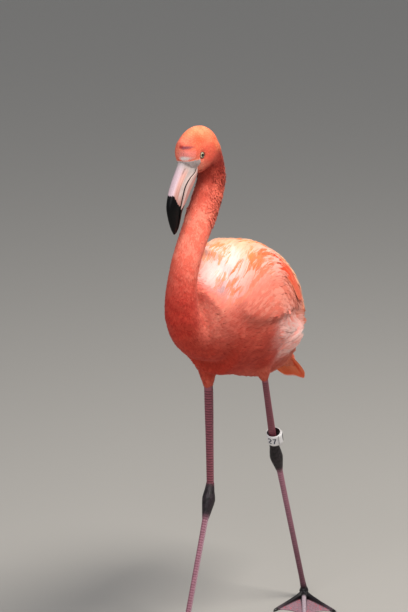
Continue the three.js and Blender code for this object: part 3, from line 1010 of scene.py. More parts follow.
# The looks of one feather each. blades and rows make the fan, point and ragged its end, gather, opens and
# closes its outline, and alike to mottle its tones. apart, long and wide change the region's own sizes.
plainLook = {
    "apart": 1, "long": 1, "wide": 1, "loose": 12, "seen": 0.7, "slot": "plumage",
    "closes": 0, "rise": 0, "droop": 0, "edge": 0, "alike": 0.5,
}
looks = {
    "tiny": {
        "blades": 2, "rows": 2, "scatter": 0.8, "point": 0, "ragged": 0.3, "gather": 0.3, "opens": 0.7,
        "stray": 0.05, "taper": 0.45, "overlap": 1.7, "fold": 0.3,
        "tipFade": 0.5, "rootShade": 0.1, "mottle": 0.06, "soft": 0.75, "steps": 1, "turn": 9,
    },
    "short": {
        "blades": 3, "rows": 2, "scatter": 0.8, "point": 0.1, "ragged": 0.35, "gather": 0.3, "opens": 0.7,
        "stray": 0.04, "droop": 0.04, "taper": 0.5, "overlap": 2.1, "fold": 0.2,
        "tipFade": 0.4, "rootShade": 0.06, "mottle": 0.05, "soft": 0.85, "steps": 2, "turn": 9,
    },
    "body": {
        "blades": 6, "rows": 3, "scatter": 0.9, "point": 0.2, "ragged": 0.25, "gather": 0.25, "opens": 0.6,
        "closes": 0.1, "rise": 0.2, "stray": 0.03, "droop": 0.05, "taper": 0.62, "overlap": 2, "fold": 0.3,
        "tipFade": 0.6, "rootShade": 0.05, "mottle": 0.07, "soft": 0.8, "steps": 3, "turn": 7,
    },
    "wing": {
        "blades": 7, "rows": 5, "scatter": 0.6, "point": 0.32, "ragged": 0.08, "gather": 0.2, "opens": 0.45,
        "closes": 0.2, "rise": 0.3, "stray": 0.005, "droop": 0.08, "taper": 0.7, "overlap": 2.1,
        "fold": 0.2, "alike": 0.35, "tipFade": 0.18, "rootShade": 0.15, "edge": 0.15, "mottle": 0.06,
        "soft": 0.7, "steps": 6, "turn": 5,
    },
    "ruff": {
        "blades": 5, "rows": 3, "scatter": 0.7, "point": 0.15, "ragged": 0.3, "gather": 0.25, "opens": 0.6,
        "closes": 0.1, "rise": 1.2, "stray": 0.03, "droop": 0.15, "taper": 0.6, "overlap": 2,
        "fold": 0.25, "alike": 0.1, "tipFade": 0.6, "rootShade": 0.35, "mottle": 0.1, "soft": 0.45,
        "steps": 3, "turn": 22,
    },
    "plume": {
        "apart": 1.9, "long": 1.45, "wide": 1.9,
        "blades": 11, "rows": 5, "scatter": 0.5, "point": 0.3, "ragged": 0.12, "gather": 0.25, "opens": 0.5,
        "closes": 0.25, "rise": 1.5, "stray": 0.01, "droop": 0.3, "taper": 0.6, "overlap": 2.3, "fold": 0.2,
        "tipFade": 0.7, "rootShade": 0, "edge": 0.2, "mottle": 0.06, "soft": 0.7, "steps": 5, "turn": 8,
    },
    "quill": {
        "blades": 11, "rows": 8, "scatter": 0.3, "point": 0.22, "ragged": 0.03, "gather": 0.3, "opens": 0.3,
        "closes": 0.3, "rise": 0.5, "stray": 0, "droop": 0.12, "taper": 0.8, "overlap": 2.3, "fold": 0.15,
        "alike": 0.6, "tipFade": 0.35, "rootShade": 0.15, "edge": 0.75, "mottle": 0.04, "soft": 0.3,
        "steps": 9, "slot": "flight_feather",
    },
}
looks = {kind: {**plainLook, **look} for kind, look in looks.items()}


def plant(name, chosen, kind, material, seed):
    rng = np.random.default_rng(seed)
    look = looks[kind]
    points, normals = scattered(chosen, seed, look["apart"])
    weights = regionWeights(folded(points))
    count = len(points)
    size = {
        "length": regionValue(weights, "length") * mm * look["long"] * rng.uniform(0.8, 1.2, count),
        "width": regionValue(weights, "width") * mm * look["wide"] * rng.uniform(0.85, 1.15, count),
        "lift": np.radians(regionValue(weights, "lift")) * rng.uniform(0.7, 1.3, count),
    }
    angle = np.radians(look["turn"]) * rng.normal(size=count)
    path, facing = followed(points, normals, size["length"], look["steps"], angle, look["loose"] * mm)
    colours = coloursAt(alongPath(path, np.full(count, look["seen"])))
    grow(name, path, facing, look, rng, colours, size, material)


# Materials.
def setInputs(node, inputs):
    for key, value in inputs.items():
        node.inputs[key].default_value = value


def addNode(material, kind, inputs=None, **settings):
    node = material.node_tree.nodes.new("ShaderNode" + kind)
    for key, value in settings.items():
        setattr(node, key, value)
    setInputs(node, inputs or {})
    return node


def newMaterial(name, inputs):
    material = bpy.data.materials.new(name)
    material.use_nodes = True
    setInputs(material.node_tree.nodes["Principled BSDF"], inputs)
    return material


def wiring(material):
    return material.node_tree.nodes["Principled BSDF"], material.node_tree.links.new


def scaledColour(material, colour, level):
    shader, link = wiring(material)
    mix = addNode(material, "VectorMath", operation="SCALE")
    link(colour, mix.inputs[0])
    link(level, mix.inputs["Scale"])
    link(mix.outputs["Vector"], shader.inputs["Base Color"])


# A material whose colour is the piece's own tint with a fine grain over it. Returned with the grain.
def tintedMaterial(name, scale, detail, least, most, finish):
    material = newMaterial(name, finish)
    link = wiring(material)[1]
    tint = addNode(material, "Attribute", attribute_name="tint")
    where = addNode(material, "TexCoord")
    grain = addNode(material, "TexNoise", {"Scale": scale, "Detail": detail})
    link(where.outputs["Object"], grain.inputs["Vector"])
    level = addNode(material, "MapRange", {"To Min": least, "To Max": most})
    link(grain.outputs["Fac"], level.inputs["Value"])
    scaledColour(material, tint.outputs["Color"], level.outputs["Result"])
    return material, grain


def plumageMaterial(name, value, roughness, sheen):
    finish = {
        "Roughness": roughness, "Specular IOR Level": 0.15, "Sheen Weight": sheen, "Sheen Roughness": 0.5,
    }
    return tintedMaterial(name, 450, 3, 0.86 * value, 1.12 * value, finish)[0]


def hornMaterial(name, roughness, coat, scale, depth, gloss=0.3):
    finish = {
        "Roughness": roughness, "Specular IOR Level": gloss, "Coat Weight": coat, "Coat Roughness": 0.25,
    }
    material, grain = tintedMaterial(name, scale, 4, 0.88, 1.1, finish)
    shader, link = wiring(material)
    relief = addNode(material, "Bump", {"Strength": 0.3, "Distance": depth})
    link(grain.outputs["Fac"], relief.inputs["Height"])
    link(relief.outputs["Normal"], shader.inputs["Normal"])
    return material


down = plumageMaterial("down", 1.0, 0.85, 0.05)
vane = plumageMaterial("vane", 1.0, 0.65, 0.05)
# the skin's material is set darker than the coat's, as painted shade where it shows between feathers
hide = plumageMaterial("hide", 0.85, 0.7, 0.0)

# The skin has the coat's tones, a little darker as painted shade where it shows between feathers, and its
# own before the eye. The skin has the coat's tones, so that it doesn't show between feathers, and its own
# before the eye.
skinLook = {"streak": 0.4, "level": 0.9, "lores": "D8C6C2", "creaseWidth": 2.4, "creaseShade": 0.16}
skinColours = coloursAt(surface["points"])
skinTint = skinColours["plain"] * (1 - skinLook["streak"]) + skinColours["streak"] * skinLook["streak"]
lores = bareSkin(surface["points"], round=False)
# painted shade in the wrinkles of the bare skin before the eye
creases = wobble(toHead(surface["points"]) * [1, 1.5, 0.6], skinLook["creaseWidth"], 27)
creased = 1 - skinLook["creaseShade"] * ramp(creases, 0, 0.6)
skinTint[lores] = tone(skinLook["lores"]) * creased[lores, None]
dressed(skin.data, skinTint * skinLook["level"], hide)
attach(skin, "root")
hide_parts(*flesh["body"])

# Where one coat piece ends and the next begins: heights, a place going back, and shares of two regions.
coatEdges = {"neckUpper": 790, "breast": -100, "chin": 30, "puffs": 0.32, "ruff": 0.2}
middles = surface["points"][surface["corners"]].mean(1)
place, body, head = folded(middles), toBody(middles), toHead(middles)
zone = zonesOf(middles)
onLeft, front, high = body[:, 0] > 0, body[:, 1] < coatEdges["breast"], body[:, 2] > coatEdges["neckUpper"]
underBill = (head[:, 2] < hornLine(head[:, 1])) & (head[:, 1] < coatEdges["chin"])
underBill &= headShare(middles) > 0.9
puffed = regionShare(place, "puff") > coatEdges["puffs"]
ruffled = regionShare(place, "ruffle") > coatEdges["ruff"]
lower, upper, neck = (zone == kind for kind in ("lower", "upper", "neck"))
coat = (
    ("coat_head", (zone == "head") & ~bareSkin(middles) & ~underBill, "tiny", down, 21),
    ("coat_neck_upper", neck & high, "short", down, 22),
    ("coat_neck_lower", neck & ~high, "short", down, 23),
    ("coat_breast", lower & front, "body", down, 24),
    ("coat_side_left", lower & ~front & onLeft, "body", down, 25),
    ("coat_side_right", lower & ~front & ~onLeft, "body", down, 26),
    ("coat_wing_left", upper & onLeft, "wing", vane, 27),
    ("coat_wing_right", upper & ~onLeft, "wing", vane, 28),
    ("coat_thighs", zone == "thigh", "short", down, 29),
    ("coat_puffs", lower & puffed, "plume", down, 30),
    ("coat_ruff", neck & ruffled, "ruff", down, 37),
)
for piece in coat:
    plant(*piece)


# Smooth sheets, wrapped round into horn, lids and rings.
def curved(points, share):
    # a smooth line through the points, read at share from 0 to 1
    points = np.asarray(points, float)
    spot = np.clip(share, 0, 1) * (len(points) - 1)
    start = np.minimum(spot.astype(int), len(points) - 2)
    t = (spot - start).reshape(-1, *[1] * (points.ndim - 1))
    before, a, b, after = (points[np.clip(start + k, 0, len(points) - 1)] for k in (-1, 0, 1, 2))
    bend = (2 * before - 5 * a + 4 * b - after) * t**2 + (3 * a - before - 3 * b + after) * t**3
    return (2 * a + (b - before) * t + bend) / 2


def sheet(name, columns, rows, place, material):
    # place turns the grid's u and v into points and tints, and edges that meet are welded
    bm = bmesh.new()
    bmesh.ops.create_grid(bm, x_segments=columns, y_segments=rows, size=0.5)
    grid = bmPlaces(bm) + 0.5
    places, tints = place(grid[:, 0], grid[:, 1])
    layer = bm.verts.layers.float_color.new("tint")
    for vert, point, shade in zip(bm.verts, places.tolist(), np.clip(tints, 0, 1).tolist()):
        vert.co = point
        vert[layer] = (*shade, 1)
    bmesh.ops.remove_doubles(bm, verts=bm.verts, dist=0.00002)
    bmesh.ops.recalc_face_normals(bm, faces=bm.faces)
    return pieceOf(name, bm, material)


def mixed(a, b, share):
    return a + (b - a) * np.asarray(share)[..., None]


def bump(value, middle, width):
    return np.exp(-(((value - middle) / width) ** 2))


# The bill.
bill = {
    # down the bill in the head's middle plane, as back and up, and its half width there
    "ridge": [
        (4, 8), (-2, -6), (-11, -22), (-22, -40), (-31, -58), (-35.5, -76),
        (-32.5, -95), (-26, -112), (-19.5, -123),
    ],
    "mouth": [
        (27, -12), (22, -24), (8, -32), (-4, -43), (-10, -58), (-14, -76),
        (-14, -93), (-15.5, -110), (-17, -121),
    ],
    "keel": [
        (37, -16), (35, -31), (28.5, -46), (19, -58), (8, -72), (-3.5, -87),
        (-7, -100.5), (-11, -113), (-15, -121.5),
    ],
    "width": [13.5, 13.4, 13.2, 13, 12.2, 10.6, 8.2, 5.8, 2.4],
    "length": 132,
    "rings": 300,
    "sides": 96,
    "outer": 0.75,  # share of each section that is its outside
    "upperWidth": 0.9,
    "square": 0.84,
    "ribs": {"spacing": 1.7, "depth": 0.4, "rows": (0.7, 0.93), "along": (0.12, 0.5)},
    "groove": {"at": 0.5, "width": 0.13, "depth": 0.9},
    "nostril": {"at": 0.5, "width": 0.04, "depth": 1.2, "along": (0.15, 0.27)},
    "rim": {"at": 0.97, "width": 0.05, "height": 0.5},
    "lowerGroove": {"at": 0.62, "width": 0.12, "depth": 0.7},
    # the tip is black below this height, which drops towards the mouth and is ragged
    "upperBlack": {"up": -56, "drop": -18, "ragged": 0.9},
    "lowerBlack": {"up": -70, "drop": -10, "ragged": 1.2},
    # mouth is painted shade along the cutting edge and inside, and slit is painted shade in the nostril
    "tones": {
        "ridge": "DABCC4", "side": "D6A296", "low": "C48A80", "edge": "E0C8C2", "base": "C2B6B2",
        "rim": "E0BEB6", "lower": "D09A92", "keel": "CC9EA2", "slit": "6E5258", "mouth": "2E2022",
        "black": "060405",
    },
}
billTones = palette(bill["tones"])


def billSection(v):
    # how far round a section: its side, and shares along its outside and inside
    side = np.sign(v - 0.5)
    reach = np.abs(v - 0.5) * 2
    outside = np.clip(reach / bill["outer"], 0, 1)
    return side, outside, np.clip((reach - bill["outer"]) / (1 - bill["outer"]), 0, 1)


def within(value, low, high, soft):
    return ramp(value, low, low + soft) * (1 - ramp(value, high - soft, high))


def streaks(along, around, seed):
    return wobble(np.stack([around * 24, along * 5, np.zeros_like(along)], 1), 1, seed)


def mouthAndTip(shade, place, mouth, black, drop, lines):
    # painted shade along the cutting edge and inside, and black at the tip
    shade = mixed(shade, billTones["mouth"], mouth)
    border = black["up"] + black["drop"] * drop + black["ragged"] * lines
    return mixed(shade, billTones["black"], ramp(border - place[:, 2], -0.5, 0.9))


def upperBill(u, v):
    side, out, inside = billSection(v)
    ridge, mouth = curved(bill["ridge"], u), curved(bill["mouth"], u)
    wide = curved(bill["width"], u) * bill["upperWidth"]
    angle = out * math.pi / 2
    across = wide * np.sin(angle) ** bill["square"] * (1 - inside)
    down = (1 - np.cos(angle) ** bill["square"]) * 1.02 - 0.3 * np.sin(inside * math.pi / 2)
    ribs, groove, nostril = bill["ribs"], bill["groove"], bill["nostril"]
    ribbed = within(out, *ribs["rows"], 0.06) * within(u, *ribs["along"], 0.08) * (inside == 0)
    hollow = (0.5 - 0.5 * np.cos(u * bill["length"] / ribs["spacing"] * 2 * math.pi)) * ribbed
    channel = groove["depth"] * bump(out, groove["at"], groove["width"]) * within(u, 0.1, 0.7, 0.2)
    slit = bump(out, nostril["at"], nostril["width"]) * within(u, *nostril["along"], 0.04)
    across = across - ribs["depth"] * hollow - channel - nostril["depth"] * slit
    place = np.stack([side * across, *(ridge + (mouth - ridge) * down[:, None]).T], 1)
    lines = streaks(u, out, 41)
    shade = mixed(billTones["ridge"], billTones["side"], ramp(out + 0.05 * lines, 0.2, 0.55))
    shade = mixed(shade, billTones["low"], 0.75 * ramp(u, 0.25, 0.5) * ramp(out, 0.3, 0.7))
    shade = mixed(shade, billTones["edge"], ramp(out, 0.68, 0.76) * (1 - ramp(u, 0.45, 0.6)))
    shade = mixed(shade, billTones["base"], 0.85 * (1 - ramp(u, 0.1, 0.26)))
    # the horn's own fine streaks, with painted shade in the grooves between the ribs and in the nostril
    # slit
    shade *= (1 + 0.12 * lines - 0.3 * hollow)[:, None]
    shade = mixed(shade, billTones["slit"], 0.45 * slit)
    # painted shade along the cutting edge and inside
    mouth = np.maximum(ramp(out, 0.975, 0.995) * ramp(u, 0.16, 0.34), inside > 0)
    return fromHead(place), mouthAndTip(shade, place, mouth, bill["upperBlack"], ramp(out, 0.35, 1), lines)


def lowerBill(u, v):
    side, out, inside = billSection(v)
    keel, mouth = curved(bill["keel"], u), curved(bill["mouth"], u)
    wide = curved(bill["width"], u)
    angle = out * math.pi / 2
    rim = bump(out, bill["rim"]["at"], bill["rim"]["width"]) * bill["rim"]["height"] * (inside == 0)
    across = (wide + rim * wide / 13) * np.sin(angle) ** bill["square"] * (1 - inside)
    down = np.cos(angle) ** bill["square"] + 0.5 * np.sin(inside * math.pi / 2)
    groove = bill["lowerGroove"]
    channel = groove["depth"] * bump(out, groove["at"], groove["width"]) * within(u, 0.05, 0.8, 0.2)
    place = np.stack([side * (across - channel), *(mouth + (keel - mouth) * down[:, None]).T], 1)
    lines = streaks(u, out, 43)
    shade = mixed(billTones["keel"], billTones["lower"], ramp(out, 0.2, 0.5))
    shade = mixed(shade, billTones["rim"], ramp(out + 0.03 * lines, 0.74, 0.88))
    shade *= (1 + 0.14 * lines)[:, None]
    # painted shade along the cutting edge and inside
    mouth = np.maximum(ramp(out, 0.985, 1) * ramp(u, 0.16, 0.34), inside > 0)
    return fromHead(place), mouthAndTip(shade, place, mouth, bill["lowerBlack"], out, lines)


horn = hornMaterial("horn", 0.45, 0.02, 380, 0.0003, 0.16)
for name, place in (("bill_horn_upper", upperBill), ("bill_horn_lower", lowerBill)):
    piece = sheet(name, bill["rings"], bill["sides"], place, horn)
    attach(piece, "root")
    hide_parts(name.replace("horn_", ""))
print("bill")

# Eyes and lids.
eyes = {
    "inward": 1.5,
    "gaze": (1, -0.14, 0.04),
    "segments": (64, 48),
    "pupil": 3.1,
    "iris": 4.9,
    "opening": (3.7, 4.5),
    # the opening reaches further at one corner, and the lid there gets painted shade
    "corner": {"at": -2.6, "width": 0.3, "reach": 1.7},
    # from the opening outward: distance along the eyeball, height over it, and tone
    "lid": [
        (-0.1, -0.15, "2A1A16"), (0.1, 0.4, "33221C"), (0.5, 0.6, "45302A"), (0.9, 0.65, "8A6A56"),
        (1.5, 0.45, "B4654A"), (2.3, 0.0, "D8603E"), (3.4, -0.9, "E05A3C"),
    ],
    "tones": {
        "pupil": "070506", "inner": "DCCB96", "outer": "F6EEDA", "rim": "4A3A2A", "white": "3A2823",
        "corner": "33201C",
    },
}


def eyeAxes(turn):
    gaze = unit(np.array([turn * eyes["gaze"][0], eyes["gaze"][1], eyes["gaze"][2]]) @ headAxes)
    up = unit(np.array([0, 0, 1]) - gaze * gaze[2])
    return gaze, np.cross(up, gaze) * turn, up  # the middle one points to the back of the head


def eyeball(name, centre, turn):
    gaze, back, up = eyeAxes(turn)
    shades = palette(eyes["tones"])
    columns, rows = eyes["segments"]
    pupil, iris, radius = eyes["pupil"], eyes["iris"], headPlan["eyeRadius"]
    bm = bmesh.new()
    bmesh.ops.create_uvsphere(bm, u_segments=columns, v_segments=rows, radius=radius * mm)
    layer = bm.verts.layers.float_color.new("tint")
    for vert in bm.verts:
        x, y, z = vert.co
        away = math.acos(max(-1, min(1, z / vert.co.length))) * radius
        around = math.atan2(y, x)
        ray = 0.5 + 0.5 * math.sin(17 * around) * math.sin(31 * around + 1)
        shade = mixed(shades["inner"], shades["outer"], ramp(away, pupil, iris)) * (0.85 + 0.15 * ray)
        shade = mixed(shade, shades["pupil"], 1 - ramp(away, pupil - 0.15, pupil + 0.15))
        shade = mixed(shade, shades["rim"], ramp(away, iris - 0.35, iris))
        shade = mixed(shade, shades["white"], ramp(away, iris + 0.2, iris + 0.6))
        vert[layer] = (*shade, 1)
        vert.co = Vector(centre) + Vector(x * back + y * up + z * gaze)
    bmesh.ops.recalc_face_normals(bm, faces=bm.faces)
    return pieceOf(name, bm, wet)


def lidPlace(centre, turn):
    gaze, back, up = eyeAxes(turn)
    out, height = (np.array([row[k] for row in eyes["lid"]], float) for k in (0, 1))
    shades = np.array([tone(row[2]) for row in eyes["lid"]])

    def place(u, v):
        angle = (u - 0.5) * 2 * math.pi
        wide, tall = eyes["opening"]
        opening = wide * tall / np.hypot(tall * np.cos(angle), wide * np.sin(angle))
        corner = eyes["corner"]
        pull = bump(np.angle(np.exp(1j * (angle - corner["at"]))), 0, corner["width"])
        arc = (opening + corner["reach"] * pull * (1 - v) + curved(out, v)) / headPlan["eyeRadius"]
        radius = (headPlan["eyeRadius"] + curved(height, v)) * mm
        outward = np.cos(angle)[:, None] * back + np.sin(angle)[:, None] * up
        over = np.cos(arc)[:, None] * gaze + np.sin(arc)[:, None] * outward
        point = np.array(centre) + radius[:, None] * over
        shade = curved(shades, v) * (1 + 0.08 * np.sin(angle * 23) * ramp(v, 0.2, 0.5))[:, None]
        # the lid by the corner is darkened with painted shade
        return point, mixed(shade, tone(eyes["tones"]["corner"]), 0.8 * pull * (1 - ramp(v, 0.5, 0.9)))

    return place


wet = hornMaterial("eyeSurface", 0.08, 1.0, 900, 0.00002, 0.5)
lidSkin = hornMaterial("lidSkin", 0.55, 0.0, 1400, 0.0002)
lids = []
for side, turn in sides.items():
    centre = (leftEye if turn > 0 else rightEye) - headLeft * turn * eyes["inward"] * mm
    ball = eyeball(f"eyeball_{side}", centre, turn)
    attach(ball, "root")
    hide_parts(f"eye_{side}")
    lids.append(sheet(f"lid_{side}", 96, 18, lidPlace(centre, turn), lidSkin))
eyelids = joined("eyelids", lids)
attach(eyelids, "root")
print("eyes")


# The long quills, as points on the body: tertials from the first line to the last, and the tail's fan.
tertials = {
    "first": [(42, 24, 708), (60, 60, 686), (72, 94, 646), (73, 124, 590)],
    "last": [(66, 16, 698), (79, 48, 668), (84, 78, 632), (82, 98, 602)],
    "count": 13,
    "width": 9,
    "uneven": 0.8,
    "lift": 2.2,  # over the skin, for the first
    "stack": 0.05,  # and this much less for each one after it
    "tilt": 1,
    "plain": "E8461E",
    "streak": "F06A44",
    "tip": "FF9878",
    "share": 0.35,
}
tailFan = {
    "first": [(-15, 150, 488), (-24, 184, 457), (-24, 212, 432), (-17, 236, 408)],
    "count": 12,
    "width": 15,
    "raised": (0, 3.5, 3.5),  # how far the middle ones stand from the flat of the fan
    "tipRaised": (0, 5, -5),
    "facing": (0, 0.73, 0.68),
    "tilt": 0,
    "plain": "FF5422",
    "streak": "FF6A36",
    "tip": "FF8A5C",
    "share": 0.4,
}


def between(first, last, count):
    share = np.linspace(0, 1, count)[:, None, None]
    return np.array(first, float) * (1 - share) + np.array(last, float) * share


def spread(lines, steps):
    return curved(lines.transpose(1, 0, 2), np.linspace(0, 1, steps + 1)).transpose(1, 0, 2)


def growQuills(name, path, facing, group, rng):
    count = len(path)
    colours = {key: np.tile(tone(group[key]), (count, 1)) for key in tones}
    colours["share"] = np.full(count, group["share"])
    size = {
        "length": np.linalg.norm(np.diff(path, axis=1), axis=2).sum(1),
        "width": np.full(count, group["width"] * mm),
        "lift": np.full(count, math.radians(group["tilt"])),
    }
    grow(name, path, facing, looks["quill"], rng, colours, size, vane)


def layTertials(side, turn, seed):
    rng = np.random.default_rng(seed)
    steps = looks["quill"]["steps"]
    lines = spread(between(tertials["first"], tertials["last"], tertials["count"]), steps)
    lines[..., 1:] += rng.normal(size=(len(lines), 1, 2)) * tertials["uneven"]
    found, facing = nearestOnSkin(toFrame(lines * [turn, 1, 1]).reshape(-1, 3))
    found, facing = found.reshape(lines.shape), facing.reshape(lines.shape)
    heights = (tertials["lift"] - tertials["stack"] * np.arange(len(lines)))[:, None]
    rise = heights * ramp(np.linspace(0, 1, steps + 1), -0.2, 0.3)
    growQuills(f"tertials_{side}", found + facing * (rise * mm)[..., None], facing, tertials, rng)


def layTail(seed):
    first = np.array(tailFan["first"], float)
    lines = between(first, first * [-1, 1, 1], tailFan["count"])
    inward = 1 - np.abs(np.linspace(-1, 1, tailFan["count"]))[:, None, None]
    lines = lines + inward * tailFan["raised"]
    lines[:, -1] += inward[:, 0] * tailFan["tipRaised"]
    path = toFrame(spread(lines, looks["quill"]["steps"]))
    facing = np.broadcast_to(unit(np.array(tailFan["facing"])), path.shape)
    growQuills("tail_fan", path, facing, tailFan, np.random.default_rng(seed))


layTertials("left", 1, 31)
layTertials("right", -1, 32)
layTail(33)


# Legs, webs and claws.
# Sizes here are measured from the floor, as points under the body.
floorBase = bodyBase - np.array([9, -17, 5.5])
legs = {
    "left": {
        "line": [(49, 14, 472.5), (31, 84, 341), (31, 99, 301), (33, 110, 270), (55, 174, 18)],
        "toes": 26, "swell": -1, "darkening": 0.65,
    },
    "right": {
        "line": [(-29, -51, 463.5), (-28, -46, 288), (-24, -60, 262), (-22, -77, 229), (-12.5, -185.5, 18)],
        "toes": -32, "swell": 1.4, "darkening": 0.1,
    },
    "nodes": ("shank", "ankle", "tarsus", "foot"),
    "intoThigh": 26,
    "voxel": 0.9,
    "smoothing": 4,
    "clawSwell": 0.5,
    "clawVoxel": 0.45,
    "plates": 4.7,  # from one transverse plate of the skin to the next
    "grooveDepth": 0.55,
    "toeAngles": (-38, 0, 38),
    # shankGroove and tarsusGroove are the tones of painted shade in the grooves between the plates
    "tones": {
        "shank": "8E4A56", "shankGroove": "3A1820", "shankEdge": "A06470",
        "joint": "30242A", "jointDark": "120A0C",
        "tarsus": "9C6A78", "tarsusEdge": "C4A0AE", "tarsusGroove": "6A3A48",
        "web": "94727C", "fleck": "C2525E", "toe": "120C10", "toeEnd": "4A3A42", "middleToe": "B8A4AC",
        "sole": "6A4A50", "claw": "0C090A",
    },
}


def toFloor(points):
    return np.asarray(points, float) / mm - floorBase


def fract(value):
    return value - np.floor(value)


def groovesAlong(phase, sharp):
    return np.exp(-((np.abs(fract(phase) - 0.5) / sharp) ** 2))


def legMarks(side, place):
    # how far along, where the bones end, the shares of shank and tarsus, and the angle from the front
    line = np.array(legs[side]["line"], float)
    along, _, out, _ = alongLine(place, line)
    ends = np.concatenate([[0], np.cumsum(np.linalg.norm(np.diff(line, axis=0), axis=1))])
    shank = 1 - ramp(along, ends[1] - 4, ends[1] + 10)
    tarsus = ramp(along, ends[3] - 14, ends[3] + 4)
    heading = math.radians(legs[side]["toes"])
    front = out @ np.array([math.sin(heading), -math.cos(heading), 0])
    across = out @ np.array([math.cos(heading), math.sin(heading), 0])
    return along, ends, shank, tarsus, np.abs(np.arctan2(across, front))


def legShades(side, place, grain, shades):
    # transverse plates down the front and sides, and offset ones behind, with painted shade in the grooves
    # between them
    along, ends, shank, tarsus, angle = legMarks(side, place)
    phase = along / legs["plates"] + 0.5 * (angle > 1.9) + 0.07 * grain
    inFront, darkening = angle < 2.3, legs[side]["darkening"]
    upper = mixed(shades["shank"], shades["shankEdge"], ramp(angle, 1.1, 2.2) * 0.6)
    upper = mixed(upper, shades["shankGroove"], 0.95 * groovesAlong(phase, 0.21) * inFront)
    lower = mixed(shades["tarsus"], shades["tarsusEdge"], ramp(angle, 1.2, 2.0) * 0.8)
    lower = mixed(lower, shades["tarsusGroove"], 0.85 * groovesAlong(phase, 0.24) * inFront)
    # the side's darkening makes the tarsus darker towards the foot, and the joint darker too
    lower = mixed(lower, shades["shankGroove"], darkening * ramp(along, ends[3], ends[4]))
    joint = mixed(shades["joint"], shades["jointDark"], ramp(grain, -0.3, 0.8)) * (1 - 0.6 * darkening)
    jointShare = 1 - np.maximum(shank, tarsus)
    shade = upper * shank[:, None] + lower * tarsus[:, None] + joint * jointShare[:, None]
    plates = groovesAlong(phase, 0.15) * (shank + 0.6 * tarsus)
    fuller = legs[side]["swell"] * shank * (1 - ramp(along, 0, ends[1]))
    return shade, plates, fuller, jointShare


def footShades(side, place, normals, grain, shades):
    # black round the joint and on the outer toes, with a pale ridge on the middle toe, and painted shade in
    # the grooves across the toes and on the faces that point down
    plan = place[:, :2] - legs[side]["line"][-1][:2]
    flecks = ramp(wobble(place * [1, 1, 0.2], 3.5, 62), 0.55, 1.0)
    shade = mixed(shades["web"], shades["fleck"], 0.8 * flecks)
    ribs = np.zeros(len(place))
    for toeAngle in legs["toeAngles"]:
        way = math.radians(legs[side]["toes"]) + math.radians(toeAngle * sides[side])
        ahead = plan @ np.array([math.sin(way), -math.cos(way)])
        off = np.abs(plan @ np.array([math.cos(way), math.sin(way)]))
        wide = 6.2 - 0.03 * ahead
        onToe = ramp(off, wide + 1.2, wide - 1.2) * ramp(ahead, -2, 4)
        if toeAngle:
            toe = mixed(shades["toe"], shades["toeEnd"], ramp(ahead, 45, 85))
        else:
            toe = mixed(shades["toe"], shades["middleToe"], ramp(ahead, 10, 18) * ramp(off, 5.5, 3.0))
        shade = mixed(shade, toe, onToe)
        ribbed = groovesAlong(ahead / 3.4 + 0.1 * grain, 0.15) * ramp(place[:, 2], 2.5, 4)
        ribs = np.maximum(ribs, onToe * ribbed)
    atJoint = np.maximum(ramp(np.linalg.norm(plan, axis=1), 24, 15), ramp(place[:, 2], 13, 18))
    shade = mixed(shade, shades["toe"], atJoint)
    shade = mixed(shade, shades["sole"], normals[:, 2] < -0.5)
    return shade * (1 - 0.35 * ribs)[:, None], ribs


def evened(piece, voxel):
    applied(piece, "REMESH", mode="VOXEL", voxel_size=voxel * mm)
    applied(piece, "SMOOTH", factor=0.5, iterations=legs["smoothing"])


def dressLeg(side):
    nodes = [f"{node}_{side}" for node in legs["nodes"]]
    start, end = np.array(legs[side]["line"][:2], float)
    upward = Vector(unit(start - end)) * legs["intoThigh"] * mm
    leg = joinedNodes(f"leg_{side}", nodes, flesh["swell"], f"shank_{side}", upward)
    evened(leg, legs["voxel"])
    points, normals = placesOf(leg.data), normalsOf(leg.data)
    place, shades = toFloor(points), palette(legs["tones"])
    grain = wobble(place, 5, 61)
    shade, plates, fuller, jointShare = legShades(side, place, grain, shades)
    footShade, ribs = footShades(side, place, normals, grain, shades)
    onFoot = ramp(place[:, 2], 34, 17)
    shade = shade * (1 - onFoot[:, None]) + footShade * onFoot[:, None]
    depth = legs["grooveDepth"] * (plates * (1 - onFoot) + 0.8 * ribs * onFoot) - fuller
    moved = points - normals * (depth * mm)[:, None]
    moved[:, 2] = np.maximum(moved[:, 2], 0)
    movePlaces(leg.data, moved)
    net = leg.data.attributes.new("net", "FLOAT", "POINT")
    net.data.foreach_set("value", np.maximum(jointShare, 0.5 * onFoot).astype(np.float32))
    dressed(leg.data, shade * (1 + 0.08 * grain)[:, None], legSkin)
    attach(leg, "root")
    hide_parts(*nodes)
    print(leg.name, len(leg.data.vertices))


def dressClaws(side):
    nodes = [f"claw_{toe}_{side}" for toe in ("inner", "middle", "outer")]
    claws = joinedNodes(f"claws_{side}", nodes, legs["clawSwell"])
    evened(claws, legs["clawVoxel"])
    dressed(claws.data, np.tile(tone(legs["tones"]["claw"]), (len(claws.data.vertices), 1)), clawHorn)
    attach(claws, "root")
    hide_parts(*nodes)


